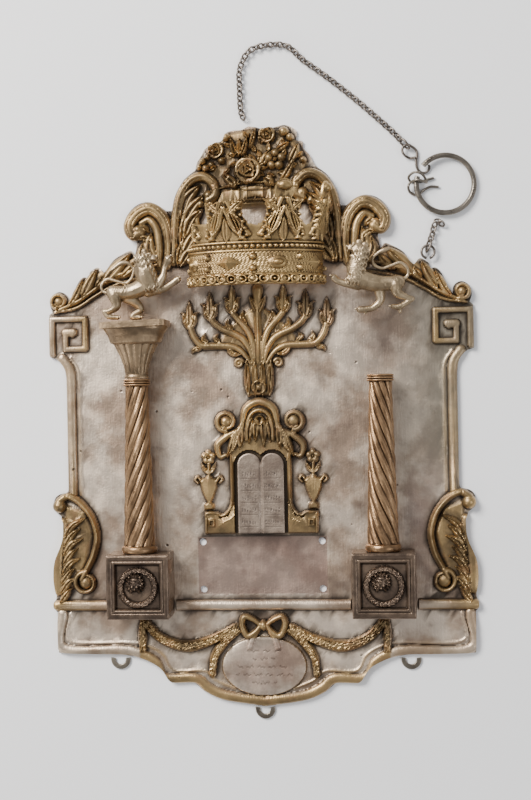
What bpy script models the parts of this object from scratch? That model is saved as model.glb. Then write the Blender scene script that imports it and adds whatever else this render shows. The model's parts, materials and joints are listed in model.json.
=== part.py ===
"""A torah shield of embossed silver, parcel gilt, lying face up.

The plate's back lies on z = 0 and its face looks up. +Y runs to the crest. The carving is drawn on a
sheet of DRAWN_WIDTH by DRAWN_HEIGHT units and keeps its place as shares of the plate's own size.
"""

import math

import bmesh
import bpy
import numpy as np
from mathutils import Matrix, Vector

# The embossed plate.
PLATE_WIDTH = 0.2688
PLATE_HEIGHT = 0.3654
SHEET = 0.0016
RELIEF = 0.001
SEAT_WIDTH = 0.082
SEAT_HEIGHT = 0.0365
SEAT_DEPTH = 0.0002
SEAT_TOP_Y = -0.0756
RIVET_HOLE = 0.0044
RIVET_INSET = 0.0033
CLEARANCE = 0.0003

# The tablets in the ark's front.
TABLETS_WIDTH = 0.029
TABLETS_HEIGHT = 0.0506
TABLETS_BOTTOM_Y = -0.0739
TABLETS_THICKNESS = 0.0026
TABLETS_EASE = 0.0018

# The moulded rail that runs across behind the pedestals.
RAIL_Y = -0.1186
RAIL_THICKNESS = 0.0069

# The pedestals, columns and capital.
COLUMN_SPACING = 0.152
PEDESTAL_WIDTH = 0.0396
PEDESTAL_HEIGHT = 0.040
PEDESTAL_DEPTH = 0.0235
PEDESTAL_BOTTOM_Y = -0.1243
PEDESTAL_PANEL = 0.029
WREATH_RADIUS = 0.0108
COLUMN_LENGTH = 0.1088
COLUMN_FOOT_RADIUS = 0.0098
COLUMN_TOP_RADIUS = 0.0068
COLUMN_RING_RADIUS = 0.0112
COLUMN_RING_HEIGHT = 0.0044
STRAND_RELIEF = 0.0013
COLUMN_TURNS = 0.9
CAPITAL_BELL = 0.0212
CAPITAL_BOWL = 0.0112
CAPITAL_RADIUS = 0.0205
ABACUS_WIDTH = 0.0405
ABACUS_THICKNESS = 0.0043
ABACUS_DEPTH = 0.0262
ABACUS_TILT_DEG = 1.9

# The crown.
CROWN_HALF_WIDTH = 0.0423
CROWN_BULGE = 0.0185
CROWN_BOTTOM_Y = 0.0806
CROWN_BAND = 0.0272
CROWN_WALL = 0.0013
CROWN_RELIEF = 0.001
FLEURON_HEIGHT = 0.0372
CROWN_FLARE = 0.005
CROWN_HALF_TURN_DEG = 84
STONE_STEP_DEG = 21

# The lions, each drawn in units of its own length.
LION_LENGTH = 0.0468
LION_THICKNESS = 0.0125
LION_STAND_OFF = 0.006
LION_TO_CROWN = 0.0037

# The washers, the eyelet, the chain and the ring.
WASHER_OUTER = 0.0126
WASHER_BORE = 0.0064
WASHER_THICKNESS = 0.0013
WASHER_OVERHANG = 0.0046
LINK_LENGTH = 0.0052
LINK_WIDTH = 0.0043
LINK_WIRE = 0.0012
LINK_BITE = 0.00025
HANGING_RING = 0.039
HANGING_WIRE = 0.0034
RING_FROM_EYELET = (0.0114, 0.0418)
RING_ENDS_DEG = (163, 499)
RING_RAISED_DEG = 170
HOOK_WIRE = 0.0016
BIG_LINK_LENGTH = 0.0094
BIG_LINK_WIDTH = 0.0064
BIG_LINK_WIRE = 0.0014
BIG_LINK_TILT_DEG = 64
EYELET_OUTER = 0.0096
EYELET_SHARE = 0.398
FLOOR_GAP = 0.0001

DRAWN_WIDTH = 268.8
DRAWN_HEIGHT = 365.4
CROWN_DRAWN_BAND = 27.2
CROWN_DRAWN_FLEURON = 37.2
CROWN_DRAWN_HALF = 51.0
DRAWN_RING = 0.039

PLATE_GRID = 1.05
PLATE_FACES = 3500
CROWN_GRID = 0.9
CROWN_FACES = 1100
LION_FACES = 440
PEDESTAL_FACES = 300
TABLETS_FACES = 120


def spline(points, per=8):
    """A smooth curve through the points, with so many steps between two of them."""
    p = np.array(points, float)
    p = np.vstack([2 * p[0] - p[1], p, 2 * p[-1] - p[-2]])
    t = np.linspace(0, 1, per, endpoint=False)[:, None]
    out = []
    for a, b, c, d in zip(p, p[1:], p[2:], p[3:]):
        square, cube = 2 * a - 5 * b + 4 * c - d, 3 * b - a - 3 * c + d
        out.append(0.5 * (2 * b + (c - a) * t + square * t**2 + cube * t**3))
    return np.vstack(out + [p[-2][None]])


def nearest(x, y, line):
    """How far each point is from a line, and how far along the line, from 0 to 1, its nearest point is."""
    best = np.full(x.shape, np.inf)
    along = np.zeros(x.shape)
    steps = np.hypot(*np.diff(line, axis=0).T)
    starts = np.concatenate([[0], np.cumsum(steps)]) / steps.sum()
    for k, (a, b) in enumerate(zip(line, line[1:])):
        d = b - a
        t = np.clip(((x - a[0]) * d[0] + (y - a[1]) * d[1]) / max(d @ d, 1e-12), 0, 1)
        far = (x - a[0] - t * d[0]) ** 2 + (y - a[1] - t * d[1]) ** 2
        closer = far < best
        best[closer] = far[closer]
        along[closer] = (starts[k] + t * (starts[k + 1] - starts[k]))[closer]
    return np.sqrt(best), along


def inside_distance(x, y, outline):
    """Distance to a closed outline, positive inside it."""
    loop = np.vstack([outline, outline[:1]])
    far, _ = nearest(x, y, loop)
    inside = np.zeros(x.shape, bool)
    for (ax, ay), (bx, by) in zip(loop, loop[1:]):
        if ay == by:
            continue
        crosses = ((ay > y) != (by > y)) & (x < (bx - ax) * (y - ay) / (by - ay) + ax)
        inside ^= crosses
    return np.where(inside, far, -far)


class Relief:
    """Heights over a flat ground, in drawing units, on a grid of points."""

    def __init__(self, low, high, step):
        self.xs = np.arange(low[0], high[0] + step, step)
        self.ys = np.arange(low[1], high[1] + step, step)
        self.x, self.y = np.meshgrid(self.xs, self.ys)
        self.h = np.zeros(self.x.shape)

    def window(self, x0, y0, x1, y1):
        i = np.searchsorted(self.xs, [x0, x1])
        j = np.searchsorted(self.ys, [y0, y1])
        return slice(j[0], j[1]), slice(i[0], i[1])

    def raise_to(self, win, height):
        np.maximum(self.h[win], height, out=self.h[win])

    def stroke(self, points, widths, heights, flat=0.5):
        """A rounded ridge along a curve. Half-widths and heights are spread evenly along it."""
        line = spline(points)
        most = max(widths)
        low, high = line.min(axis=0) - most, line.max(axis=0) + most
        win = self.window(*low, *high)
        far, along = nearest(self.x[win], self.y[win], line)
        half = np.interp(along, np.linspace(0, 1, len(widths)), widths)
        tall = np.interp(along, np.linspace(0, 1, len(heights)), heights)
        self.raise_to(win, tall * np.clip(1 - (far / half) ** 2, 0, 1) ** flat)

    def leaf(self, points, width, height, lobes=0):
        """A leaf along a curve, widest past its middle, with a groove for its midrib."""
        line = spline(points)
        win = self.window(*(line.min(axis=0) - width), *(line.max(axis=0) + width))
        far, along = nearest(self.x[win], self.y[win], line)
        half = width * np.sin(math.pi * np.clip(along, 0.02, 0.98) ** 0.8) ** 0.7
        if lobes:
            half = half * (0.8 + 0.2 * np.abs(np.sin(math.pi * lobes * along)))
        share = far / half
        body = np.clip(1 - share**2, 0, 1) ** 0.5 * (1 - 0.35 * np.exp(-((share / 0.2) ** 2)))
        self.raise_to(win, height * body)

    def ball(self, cx, cy, rx, height, ry=None):
        ry = ry or rx
        win = self.window(cx - rx, cy - ry, cx + rx, cy + ry)
        share = ((self.x[win] - cx) / rx) ** 2 + ((self.y[win] - cy) / ry) ** 2
        self.raise_to(win, height * np.clip(1 - share, 0, 1) ** 0.5)

    def ring(self, cx, cy, radius, width, height):
        reach = radius + width
        win = self.window(cx - reach, cy - reach, cx + reach, cy + reach)
        far = np.abs(np.hypot(self.x[win] - cx, self.y[win] - cy) - radius)
        self.raise_to(win, height * np.clip(1 - (far / width) ** 2, 0, 1) ** 0.5)

    def rose(self, cx, cy, radius, height):
        """An open rose: three rounds of petals, each with its raised rim."""
        win = self.window(cx - radius, cy - radius, cx + radius, cy + radius)
        dx, dy = self.x[win] - cx, self.y[win] - cy
        share = np.hypot(dx, dy) / radius
        layer = 3.2 * share
        rim = 0.45 * np.abs(np.sin(1.5 * np.arctan2(dy, dx) + 1.3 * np.floor(layer)))
        body = np.clip(1 - share**4, 0, 1) ** 0.5 * (0.66 + 0.34 * ((layer + rim) % 1))
        self.raise_to(win, height * body)

    def flower(self, cx, cy, radius, petals, height):
        for k in range(petals):
            turn = 2 * math.pi * (k + 0.25) / petals
            reach = 0.58 * radius
            self.ball(cx + reach * math.cos(turn), cy + reach * math.sin(turn), 0.47 * radius, 0.84 * height)
        self.ball(cx, cy, 0.24 * radius, height)

    def volute(self, cx, cy, radius, start_deg, hand, width, height, eye=0.36):
        """A scroll that winds in round a ball. hand is 1 to wind against the clock."""
        turns = 1.1
        a = math.radians(start_deg) + hand * np.linspace(0, 2 * math.pi * turns, 14)
        r = np.linspace(radius - width, eye * radius, 14)
        points = np.column_stack([cx + r * np.cos(a), cy + r * np.sin(a)])
        self.stroke(points, [width, 0.6 * width], [height, 0.8 * height])
        self.ball(cx, cy, eye * radius, height)

    def plateau(self, outline, height, edge):
        """A flat raised field with a sloping edge."""
        outline = np.array(outline, float)
        win = self.window(*outline.min(axis=0), *outline.max(axis=0))
        depth = inside_distance(self.x[win], self.y[win], outline)
        self.raise_to(win, height * np.clip(depth / edge, 0, 1))

    def frame(self, cx, cy, half_x, half_y, width, height):
        """A square frame of one rounded bar."""
        reach_x, reach_y = half_x + width, half_y + width
        win = self.window(cx - reach_x, cy - reach_y, cx + reach_x, cy + reach_y)
        dx, dy = np.abs(self.x[win] - cx) - half_x, np.abs(self.y[win] - cy) - half_y
        far = np.abs(np.maximum(dx, dy))
        self.raise_to(win, height * np.clip(1 - (far / width) ** 2, 0, 1) ** 0.5)


def mirrored(points):
    return [(-x, y) for x, y in points]


def plate_outline():
    """The plate's edge in drawing units, from the foot round by the right to the crest and down the left."""
    side = [
        spline([(0, -182.7), (24, -179), (37, -174), (44.7, -167.9)]),
        spline([(58.7, -167.9), (61.2, -165.7), (67, -157.8), (78.4, -152.3), (91, -150)]),
        np.array([(132, -149), (132.4, -122.8)]),
        spline([(133.4, -122.2), (134.4, -120), (134.4, -117), (133, -114.8)]),
        spline([(132.8, -112), (134.2, -102), (133.2, -91), (129.1, -81), (127.3, -74.3), (127, -66)]),
        spline([(129, -61.5), (133.2, -57.5), (133, -51.5), (130.2, -48.1), (124.2, -46.6)]),
        spline([(123.6, -44), (123.6, -20), (123.6, 5), (123.8, 25), (125, 33), (129, 38), (134, 40)]),
        np.array([(134.2, 40.2), (134.2, 67)]),
        spline([(132, 68.6), (133.4, 73.6), (132, 79), (127.2, 81.6), (122.6, 79.2), (121.6, 74)]),
        spline([(118.6, 78), (117, 83), (113.6, 89), (110.6, 90.6), (108.6, 89.4)]),
        spline([(107, 94), (102, 96.6), (98.2, 92.6)]),
        spline([(95.6, 95), (91.6, 101), (85, 105), (80.4, 106.6), (77.8, 103)]),
        spline([(76, 112.6), (80, 113), (83.6, 117), (84.6, 123), (82.4, 129), (77.6, 134.4), (71, 137),
                (63.6, 135.4), (57, 131)]),
        spline([(53.3, 131), (51.4, 140), (45.8, 150), (38, 156.4)]),
    ]
    right = np.vstack(side + [spline([(36, 160), (34, 164), (30.4, 168), (30.2, 172), (26.4, 173),
                                      (26.2, 179), (19.4, 182.7), (13, 181.6)])])
    left = np.vstack(side + [spline([(37, 161), (34, 165.4), (31.4, 169.6), (26, 171.4), (19.4, 175),
                                     (18, 179), (14, 180.4)])])
    top = [(6, 180), (1, 182), (-4, 182.7), (-8, 180.6)]
    return np.vstack([right, top, mirrored(left[::-1])])


def carve_border(r):
    """The bead round the waist and the foot, and the key blocks at the corners."""
    waist = [(120.6, -48), (120.6, -20), (120.6, 10), (121, 30), (126, 39)]
    foot = [(129, -124), (129, -146), (91, -147), (79, -149.4), (69.4, -155), (63, -164.6), (44, -165),
            (36, -171), (24, -176), (0, -179.4)]
    for flip in (1, -1):
        for path in (waist, foot):
            line = [(flip * x, y) for x, y in path]
            r.stroke(line, [3.2, 3.2], [2.2, 2.2])
            r.stroke([(flip * (x - 5.2), y + (4.6 if y < -140 else 0)) for x, y in path if x > 1],
                     [0.9, 0.9], [0.7, 0.7])
        cx, cy = flip * 121, 54.6
        key = [(cx + flip * u, cy + v) for u, v in ((11.3, -13), (11.3, 9.4), (-10.3, 9.4), (-10.3, -9.7),
                                                    (2.6, -9.7), (2.6, 0), (-2, 0), (-2, -0.6))]
        for start, end in zip(key, key[1:]):
            r.stroke([start, end], [1.9, 1.9], [2.6, 2.6], 0.22)
        r.stroke([(cx + 2.6, cy + 0.8), (cx - 2.6, cy + 0.8)], [2.6, 2.6], [2.6, 2.6], 0.22)


def carve_side_scroll(r, flip):
    """The tall scroll at the side, with its sprig of leaves."""
    spine = [(129.6, -52), (124, -49), (116, -53), (108.8, -62), (105.4, -74), (107.6, -86), (112, -95),
             (115.6, -102)]
    r.stroke([(flip * x, y) for x, y in spine], [2.6, 2.3, 2.3, 2], [4.4, 5.4, 5.4, 4.6])
    edge = [(127.6, -66), (127.6, -74), (130.6, -84), (131.6, -96), (131, -108)]
    r.stroke([(flip * x, y) for x, y in edge], [3.6, 4, 4.4], [3, 3, 2.6])
    field = [(128, -52), (112, -58), (107, -74), (112, -92), (118, -108), (131, -112), (132, -96),
             (127, -78), (127, -64)]
    r.plateau([(flip * x, y) for x, y in field], 1.6, 3)
    r.ball(flip * 129.4, -55.2, 4.6, 5.6)
    r.volute(flip * 113.2, -104, 9, 90, -flip, 1.9, 4.4, 0.5)
    for k in range(8):
        share = k / 7
        y = -66 - 42 * share
        base = (flip * (126 + 4 * share), y - 9)
        tip = (flip * (112.5 + 7.5 * share + 2.4 * (k % 2)), y + 3 - 3 * share)
        middle = (flip * (121 + 3.4 * share), y - 1.6)
        r.leaf([base, middle, tip], 2.7, 3.9)


def carve_corner_crest(r, flip):
    """The volute over a key block and the leaves that climb from it behind the lion."""

    def at(points):
        return [(flip * x, y) for x, y in points]

    r.plateau(at([(131, 69), (119, 69), (100, 82), (78, 92), (70, 96), (76, 104), (90, 100), (102, 94),
                  (116, 82), (122, 74)]), 1.6, 2.4)
    r.stroke(at([(130, 68.6), (116, 71), (104, 78), (92, 84.4), (76, 88.6), (62, 90)]), [1.1, 1.1],
             [2.8, 2.8])
    r.stroke(at([(127, 70), (114, 75.6), (102, 83.6), (90, 90.4), (76, 94.6), (62, 97)]), [1.3, 1.3],
             [3.4, 3.4])
    r.volute(flip * 127.4, 75.4, 6.4, 250, flip, 1.7, 4.2, 0.5)
    for base, middle, tip, width in (
        ((121, 72), (116, 79), (111.4, 88.8), 3),
        ((112, 78), (107.6, 86), (102.6, 95), 4),
        ((103, 84), (99.6, 88), (98, 91.6), 2.6),
        ((98, 86), (90, 95), (80.4, 104.4), 5),
        ((86, 90), (80, 95), (76, 100.6), 3.4),
    ):
        r.leaf(at([base, middle, tip]), width, 4.2)


def carve_ear_scroll(r, flip):
    """The scroll that curls outwards beside the crest."""

    def at(points):
        return [(flip * x, y) for x, y in points]

    r.plateau(at([(57, 128), (60, 133), (70, 135), (80, 129), (82, 120), (76, 115), (72, 104), (72, 92),
                  (58, 92), (55, 110)]), 1.8, 3)
    r.stroke(at([(57, 96), (55.6, 110), (58, 124), (66, 132.4), (75, 130), (80.4, 122.6), (78.8, 116),
                 (73.6, 117.4)]),
             [2.6, 3.4, 4.4, 4.6, 4.4, 3.6], [3.8, 4.6, 5.6, 5.8, 5.6, 5])
    r.stroke(at([(62, 96), (61.6, 108), (63, 119), (67.6, 125.4), (73, 123.6)]), [1.8, 2.8, 3.2, 3, 2.2],
             [3.2, 4.2, 4.8, 4.8, 4])
    for base, middle, tip, width in (
        ((63, 98), (68, 107), (66.6, 117), 4.6),
        ((66, 94), (73, 102), (71.6, 112), 4),
        ((68, 118), (72, 121), (75.6, 119), 2.6),
        ((66, 110), (71, 114), (74.6, 113), 2.8),
    ):
        r.leaf(at([base, middle, tip]), width, 4.4)
    r.ball(flip * 75, 119.4, 3.4, 5.4)


def carve_inner_scroll(r, flip):
    """The great leafy scroll on each side of the basket."""

    def at(points):
        return [(flip * x, y) for x, y in points]

    r.plateau(at([(52, 131), (50, 140), (44, 149), (36, 154), (28, 150), (28, 138), (36, 128), (36, 112),
                  (42, 98), (54, 100)]), 2, 3)
    r.stroke(at([(53, 98), (52, 112), (50.4, 128), (47.4, 140), (41, 149), (33, 151.6), (26.4, 147),
                 (25.4, 139.6), (30, 136.4)]),
             [2.4, 3, 3.4, 3.6, 3.4, 3.6, 3.2], [3.6, 4.6, 6, 6.8, 7, 6.8, 6])
    for base, middle, tip, width in (
        ((47, 126), (43, 138), (35, 146), 5.2),
        ((46, 122), (40, 132), (32, 140), 4.8),
        ((45, 114), (41, 124), (33.6, 131), 4.6),
        ((47.6, 108), (46, 120), (44.6, 131), 3.2),
        ((46, 103), (41, 112), (35.6, 120), 4.6),
        ((48, 96), (43.6, 103), (38, 109), 4),
        ((50, 96), (48.6, 104), (46, 112), 3),
    ):
        r.leaf(at([base, middle, tip]), width, 5.6)
    r.ball(flip * 29.6, 139.6, 3.8, 6.4)
    r.ball(flip * 34.6, 134.4, 2.8, 5.4)


def carve_basket(r):
    """The basket of flowers at the top."""
    r.plateau([(-30, 131), (-33, 152), (-36, 160), (-28, 170), (-17, 179), (-4, 181), (18, 181), (25, 175),
               (29, 169), (34, 158), (31, 148), (29, 131)], 2.4, 2.4)
    r.plateau([(-27, 131), (-22, 142.6), (0, 146), (22, 142.6), (27, 131), (0, 137)], 3.4, 1.4)
    for k in range(9):
        x = -20 + 5 * k
        r.stroke([(x, 135 - 0.008 * x * x), (x, 144.6 - 0.008 * x * x)], [0.5, 0.5], [4, 4])
    r.stroke([(-26, 132.4), (-12, 135.4), (0, 136), (12, 135.4), (26, 132.4)], [1.1, 1.1], [4.6, 4.6])
    r.stroke([(-25, 143), (-12, 146), (0, 147), (12, 146), (25, 143)], [0.9, 0.9], [4.4, 4.4])
    for points, width in (
        ([(-17, 150), (-14, 147), (-11, 144)], 3.6),
        ([(-20, 152), (-15, 148), (-12, 143)], 3.2),
        ([(6, 149), (9, 147), (12, 144)], 4),
        ([(16, 146), (20, 152), (25, 160)], 3),
        ([(22, 158), (25, 164), (27.6, 170)], 3.4),
        ([(5, 158), (7, 162), (9, 166)], 3.4),
        ([(14, 166), (18, 169), (22, 171)], 3),
        ([(-3, 168), (-1, 174), (1, 181)], 2.2),
    ):
        r.leaf(points, width, 6)
    for k in range(44):
        turn = 2.4 * k
        reach = 3.2 + 0.66 * k
        cx, cy = 0.95 * reach * math.cos(turn), 158 + 0.66 * reach * math.sin(turn)
        if cy > 148:
            lean = (2.8 * math.cos(turn + 0.5), 2.8 * math.sin(turn + 0.5))
            r.leaf([(cx - lean[0], cy - lean[1]), (cx, cy), (cx + lean[0], cy + lean[1])], 2.1, 5)
    r.rose(-4.4, 154.4, 9.4, 9)
    r.rose(-24.6, 167.6, 6, 7.6)
    r.rose(8, 176.4, 6, 7.6)
    r.flower(13, 160.6, 7, 5, 8)
    for dx in (-3.4, 0, 3.4):
        r.leaf([(-9.6 + 0.4 * dx, 163.4), (-9.6 + dx, 168), (-9.6 + 1.5 * dx, 174.6)], 2.3, 8)
    berries = [(-17.6, 175.6, 3), (-20.8, 161, 2.6), (18.6, 178, 3.6), (22.4, 174.4, 2.8),
               (-33, 161, 2.6), (-31, 156.6, 2.8), (-27.4, 158.6, 2.4), (-35, 157.4, 2.2),
               (30.4, 160, 2.4), (-29.6, 163.4, 2.2)]
    for cx, cy, radius in berries:
        r.ball(cx, cy, radius, 6.6)


def carve_tree(r):
    """The seven-branched tree with cups under the crown."""
    for flip in (1, -1):
        r.plateau([(flip * x, y) for x, y in ((0, 36), (8, 38), (12, 43), (26, 46), (22, 54), (13, 62),
                                              (6, 68), (0, 70))], 1.1, 2)
        for path, cup in (
            ([(5, 33), (8, 38), (12, 42), (18, 44.4), (28, 44.8), (36, 45.4), (41, 51), (43, 57)], (43.4, 56)),
            ([(3.6, 34), (5.6, 42), (9, 48), (14, 51.6), (21.3, 54.6), (27, 58.6), (29.6, 62)], (30.2, 61)),
            ([(2.4, 34), (3.6, 46), (6.4, 54), (12, 60.6), (15.6, 65)], (16.2, 65)),
        ):
            r.stroke([(flip * x, y) for x, y in path], [1.2, 2.3, 2.4, 2.2], [2.8, 3.4, 3.6, 3.4])
            cx, cy = flip * cup[0], cup[1]
            for lean in (-1, 1):
                r.leaf([(cx, cy - 1), (cx + lean * 2.6, cy + 4), (cx + lean * 3.6, cy + 9),
                        (cx + lean * 6, cy + 10.4)], 2, 3.4)
            r.leaf([(cx, cy), (cx, cy + 8), (cx, cy + 18)], 2.8, 3)
        for base, middle, tip in (
            ((36, 43.6), (40.6, 42.6), (42, 40)),
            ((24, 47), (27, 49.6), (25, 52.4)),
            ((31, 46.6), (34.6, 49), (34, 53)),
            ((16, 55), (19.4, 58), (18.6, 62)),
            ((7, 58), (10, 62.6), (9, 67)),
            ((20, 43), (16, 39.6), (11, 39)),
        ):
            r.leaf([(flip * x, y) for x, y in (base, middle, tip)], 2, 3)
        r.volute(flip * 12.4, 33.6, 4, 160 if flip > 0 else 20, -flip, 1.4, 3, 0.4)
    r.stroke([(0, 34), (0, 70)], [2.8, 2.6], [2.8, 2.8])
    r.stroke([(0, 34), (0, 68)], [0.9, 1.1], [3.8, 3.8])
    for lean in (-1, 1):
        r.leaf([(0, 64), (lean * 2.4, 70), (lean * 5.4, 76)], 2.2, 3.6)
    r.stroke([(0, 68), (0, 80)], [2.6, 3.6], [3.2, 3.4])
    r.plateau([(-9.4, 34), (9.4, 34), (8.6, 24), (7.6, 12.4), (-7.6, 12.4), (-8.6, 24)], 2, 1.6)
    for lean in (-1.5, -0.5, 0.5, 1.5):
        r.leaf([(4.4 * lean, 13), (4.9 * lean, 24), (5.2 * lean, 36)], 2.5, 3.8)
    r.ring(0, 18.2, 4, 1.1, 4.2)
    r.ball(0, 18.2, 2.4, 4.6)


def carve_ark(r):
    """The front of the ark, which stands proud of the field, with its arch, volutes, frame and key feet."""
    half = [(0, 10.8), (7, 8.6), (9.6, 3), (11, -4), (14.6, -14), (19.6, -22), (18.2, -27), (18, -54),
            (21.6, -61.6), (26, -63), (27, -59.4), (36, -59.4), (36, -74)]
    r.plateau(half + mirrored(half[::-1]), 2.6, 1.1)
    arch = [(-11.4, -10), (-10.4, -2), (-8, 5.4), (0, 9.2), (8, 5.4), (10.4, -2), (11.4, -10)]
    r.stroke(arch, [1.8, 2.6, 3, 2.6, 1.8], [4, 4.6, 4.8, 4.6, 4])
    inner = [(-8.6, -15), (-8, -5), (-5, 1.6), (0, 4), (5, 1.6), (8, -5), (8.6, -15)]
    r.stroke(inner, [1.2, 1.5, 1.8, 1.5, 1.2], [4.6, 5, 5.2, 5, 4.6])
    for x, low in ((-6.8, -16.6), (-2.6, -15.6), (2.4, -19), (6.8, -16.2)):
        r.leaf([(0.7 * x, -1), (x, -9), (x, low)], 3.1, 4.9)
    r.ring(0, -2.6, 2.6, 0.9, 5.2)
    for flip in (1, -1):
        r.volute(flip * 21.4, -3, 8, 270, flip, 2.1, 4.4, 0.52)
        r.stroke([(flip * x, y) for x, y in ((10, 2), (11.6, -5), (16, -12), (22, -11))], [1.2, 1.6, 1.2],
                 [4, 4.4, 3.6])
        for base, tip in (((11.6, -6), (13, -20.4)), ((13.6, -7), (17.6, -22.4)), ((15, -9), (21, -25.6))):
            middle = (0.6 * base[0] + 0.4 * tip[0], 0.5 * (base[1] + tip[1]))
            r.leaf([(flip * base[0], base[1]), (flip * middle[0], middle[1]), (flip * tip[0], tip[1])], 3,
                   4.8)
        r.stroke([(flip * x, y) for x, y in ((15, -9), (22, -13), (27, -18), (25.6, -25), (21.6, -24))],
                 [1.6, 2.4, 2.6, 2, 1.4], [3.6, 4, 4, 3.8, 3.4])
        frame = [(18.4, -24), (18.4, -40), (18.6, -54), (21.6, -60.4), (25.4, -62.2), (28, -60.8),
                 (34.6, -60.8), (34.8, -66), (34.8, -72.6)]
        r.stroke([(flip * x, y) for x, y in frame], [1.2, 1.2], [3.8, 3.8])
        r.stroke([(flip * x, y) for x, y in ((16, -26), (16, -56), (18, -63), (24, -66.6))], [0.6, 0.6],
                 [3.2, 3.2])
        r.frame(flip * 31.4, -66.8, 1.4, 1.8, 0.9, 3.8)
        urn(r, flip * 33)


def urn(r, cx):
    """A two-handled urn with a flower in it."""
    body = [(4.6, -38), (6.2, -41), (5.2, -46), (3.2, -51), (1.8, -53.6), (3.6, -55), (3.6, -59)]
    right = [(cx + x, y) for x, y in body]
    r.plateau(right + [(cx - x, y) for x, y in reversed(body)], 2.8, 1.4)
    r.stroke([(cx, -39), (cx, -46), (cx, -52)], [2.6, 2, 1.2], [3.6, 3.2, 2.6])
    for flip in (1, -1):
        r.stroke([(cx + flip * x, y) for x, y in ((4.4, -41), (7, -37.6), (8.6, -39.6), (7, -41.4))], [1, 1],
                 [2.8, 2.8])
        r.leaf([(cx, -36), (cx + flip * 2.6, -33), (cx + flip * 4.6, -28.6)], 1.5, 2.8)
    r.stroke([(cx, -38), (cx, -30)], [1, 1], [2.6, 2.6])
    r.flower(cx, -25.4, 4.6, 5, 3.4)


def carve_garlands(r):
    """The laurel garlands, the bow and the oval cartouche."""
    oval = 2 * math.pi * np.arange(48) / 48
    r.plateau(np.column_stack([27 * np.cos(oval), -157.2 + 19 * np.sin(oval)]), 1.7, 0.8)
    for flip in (1, -1):
        laurel(r, [(flip * x, y) for x, y in ((76, -128), (66, -139), (50, -144.6), (34, -141),
                                              (17, -132.6))], 3.9)
        laurel(r, [(flip * x, y) for x, y in ((15, -134), (24, -141), (31.4, -151), (33, -162.5))], 3.2)
        laurel(r, [(flip * 77, -129), (flip * 77.6, -138), (flip * 77, -148)], 3.2)
        loop = [(2, -131), (7, -127.4), (12, -126), (13.6, -131), (10.6, -137.6), (6, -136), (2.4, -132)]
        r.stroke([(flip * x, y) for x, y in loop], [1.7, 2.4, 2.4, 1.7], [4, 4.8, 4.8, 4])
        r.stroke([(flip * x, y) for x, y in ((3, -134), (7, -139.6), (9, -145))], [1.5, 2.6], [3, 3.2])
    r.ball(0, -131.4, 3, 5.4, 3.6)


def laurel(r, path, width):
    """A garland of overlapping leaves."""
    line = spline(path, 12)
    steps = np.concatenate([[0], np.cumsum(np.hypot(*np.diff(line, axis=0).T))])
    r.stroke(path, [0.7 * width, width, 0.7 * width], [2.2, 2.8, 2.2])
    leaf = 5.6
    for k in range(int(steps[-1] / (0.62 * leaf))):
        at = 0.62 * leaf * k
        here = np.array([np.interp(at, steps, line[:, i]) for i in (0, 1)])
        there = np.array([np.interp(at + leaf, steps, line[:, i]) for i in (0, 1)])
        along = (there - here) / max(np.hypot(*(there - here)), 1e-6)
        across = np.array([-along[1], along[0]])
        for side in (-0.52, 0, 0.52):
            tip = here + leaf * along + side * width * across
            r.leaf([here + 0.5 * side * width * across, 0.5 * (here + tip) + 0.3 * side * width * across,
                    tip], 0.36 * width, 3.7)


def carve_rail(r):
    """The half-round rail, left out where the pedestals stand before it."""
    unit_x, unit_y = drawing_units()
    y, half = RAIL_Y / unit_y, 0.5 * RAIL_THICKNESS / unit_y
    r.stroke([(-132, y), (0, y), (132, y)], [half, half], [3.2, 3.2])
    x = 0.5 * COLUMN_SPACING / unit_x
    reach_x = (0.5 * PEDESTAL_WIDTH + 2 * CLEARANCE) / unit_x + PLATE_GRID
    low = (PEDESTAL_BOTTOM_Y - 2 * CLEARANCE) / unit_y - PLATE_GRID
    high = (PEDESTAL_BOTTOM_Y + PEDESTAL_HEIGHT + 2 * CLEARANCE) / unit_y + PLATE_GRID
    for side in (-1, 1):
        r.h[r.window(side * x - reach_x, low, side * x + reach_x, high)] = 0


def drawing_units():
    """Metres for one drawing unit, across and up."""
    return PLATE_WIDTH / DRAWN_WIDTH, PLATE_HEIGHT / DRAWN_HEIGHT


def flatten_seats(r):
    """Level ground under the title plate's seat and the tablets."""
    unit_x, unit_y = drawing_units()
    half = 0.5 * SEAT_WIDTH / unit_x + PLATE_GRID
    top = SEAT_TOP_Y / unit_y
    r.h[r.window(-half, top - SEAT_HEIGHT / unit_y - PLATE_GRID, half, top)] = 0
    clear = TABLETS_EASE + CLEARANCE
    r.h[tablets_inside(r.x * unit_x, r.y * unit_y) > -clear] = 0


def tablets_inside(x, y):
    """Distance inside the pair's outline, in metres: a rectangle under two round tops."""
    quarter = 0.25 * TABLETS_WIDTH
    spring = TABLETS_BOTTOM_Y + TABLETS_HEIGHT - quarter
    over = quarter - np.hypot(np.abs(x) - quarter, y - spring)
    under = np.minimum(0.5 * TABLETS_WIDTH - np.abs(x), np.minimum(y - TABLETS_BOTTOM_Y, spring - y))
    return np.maximum(over, under)


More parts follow.
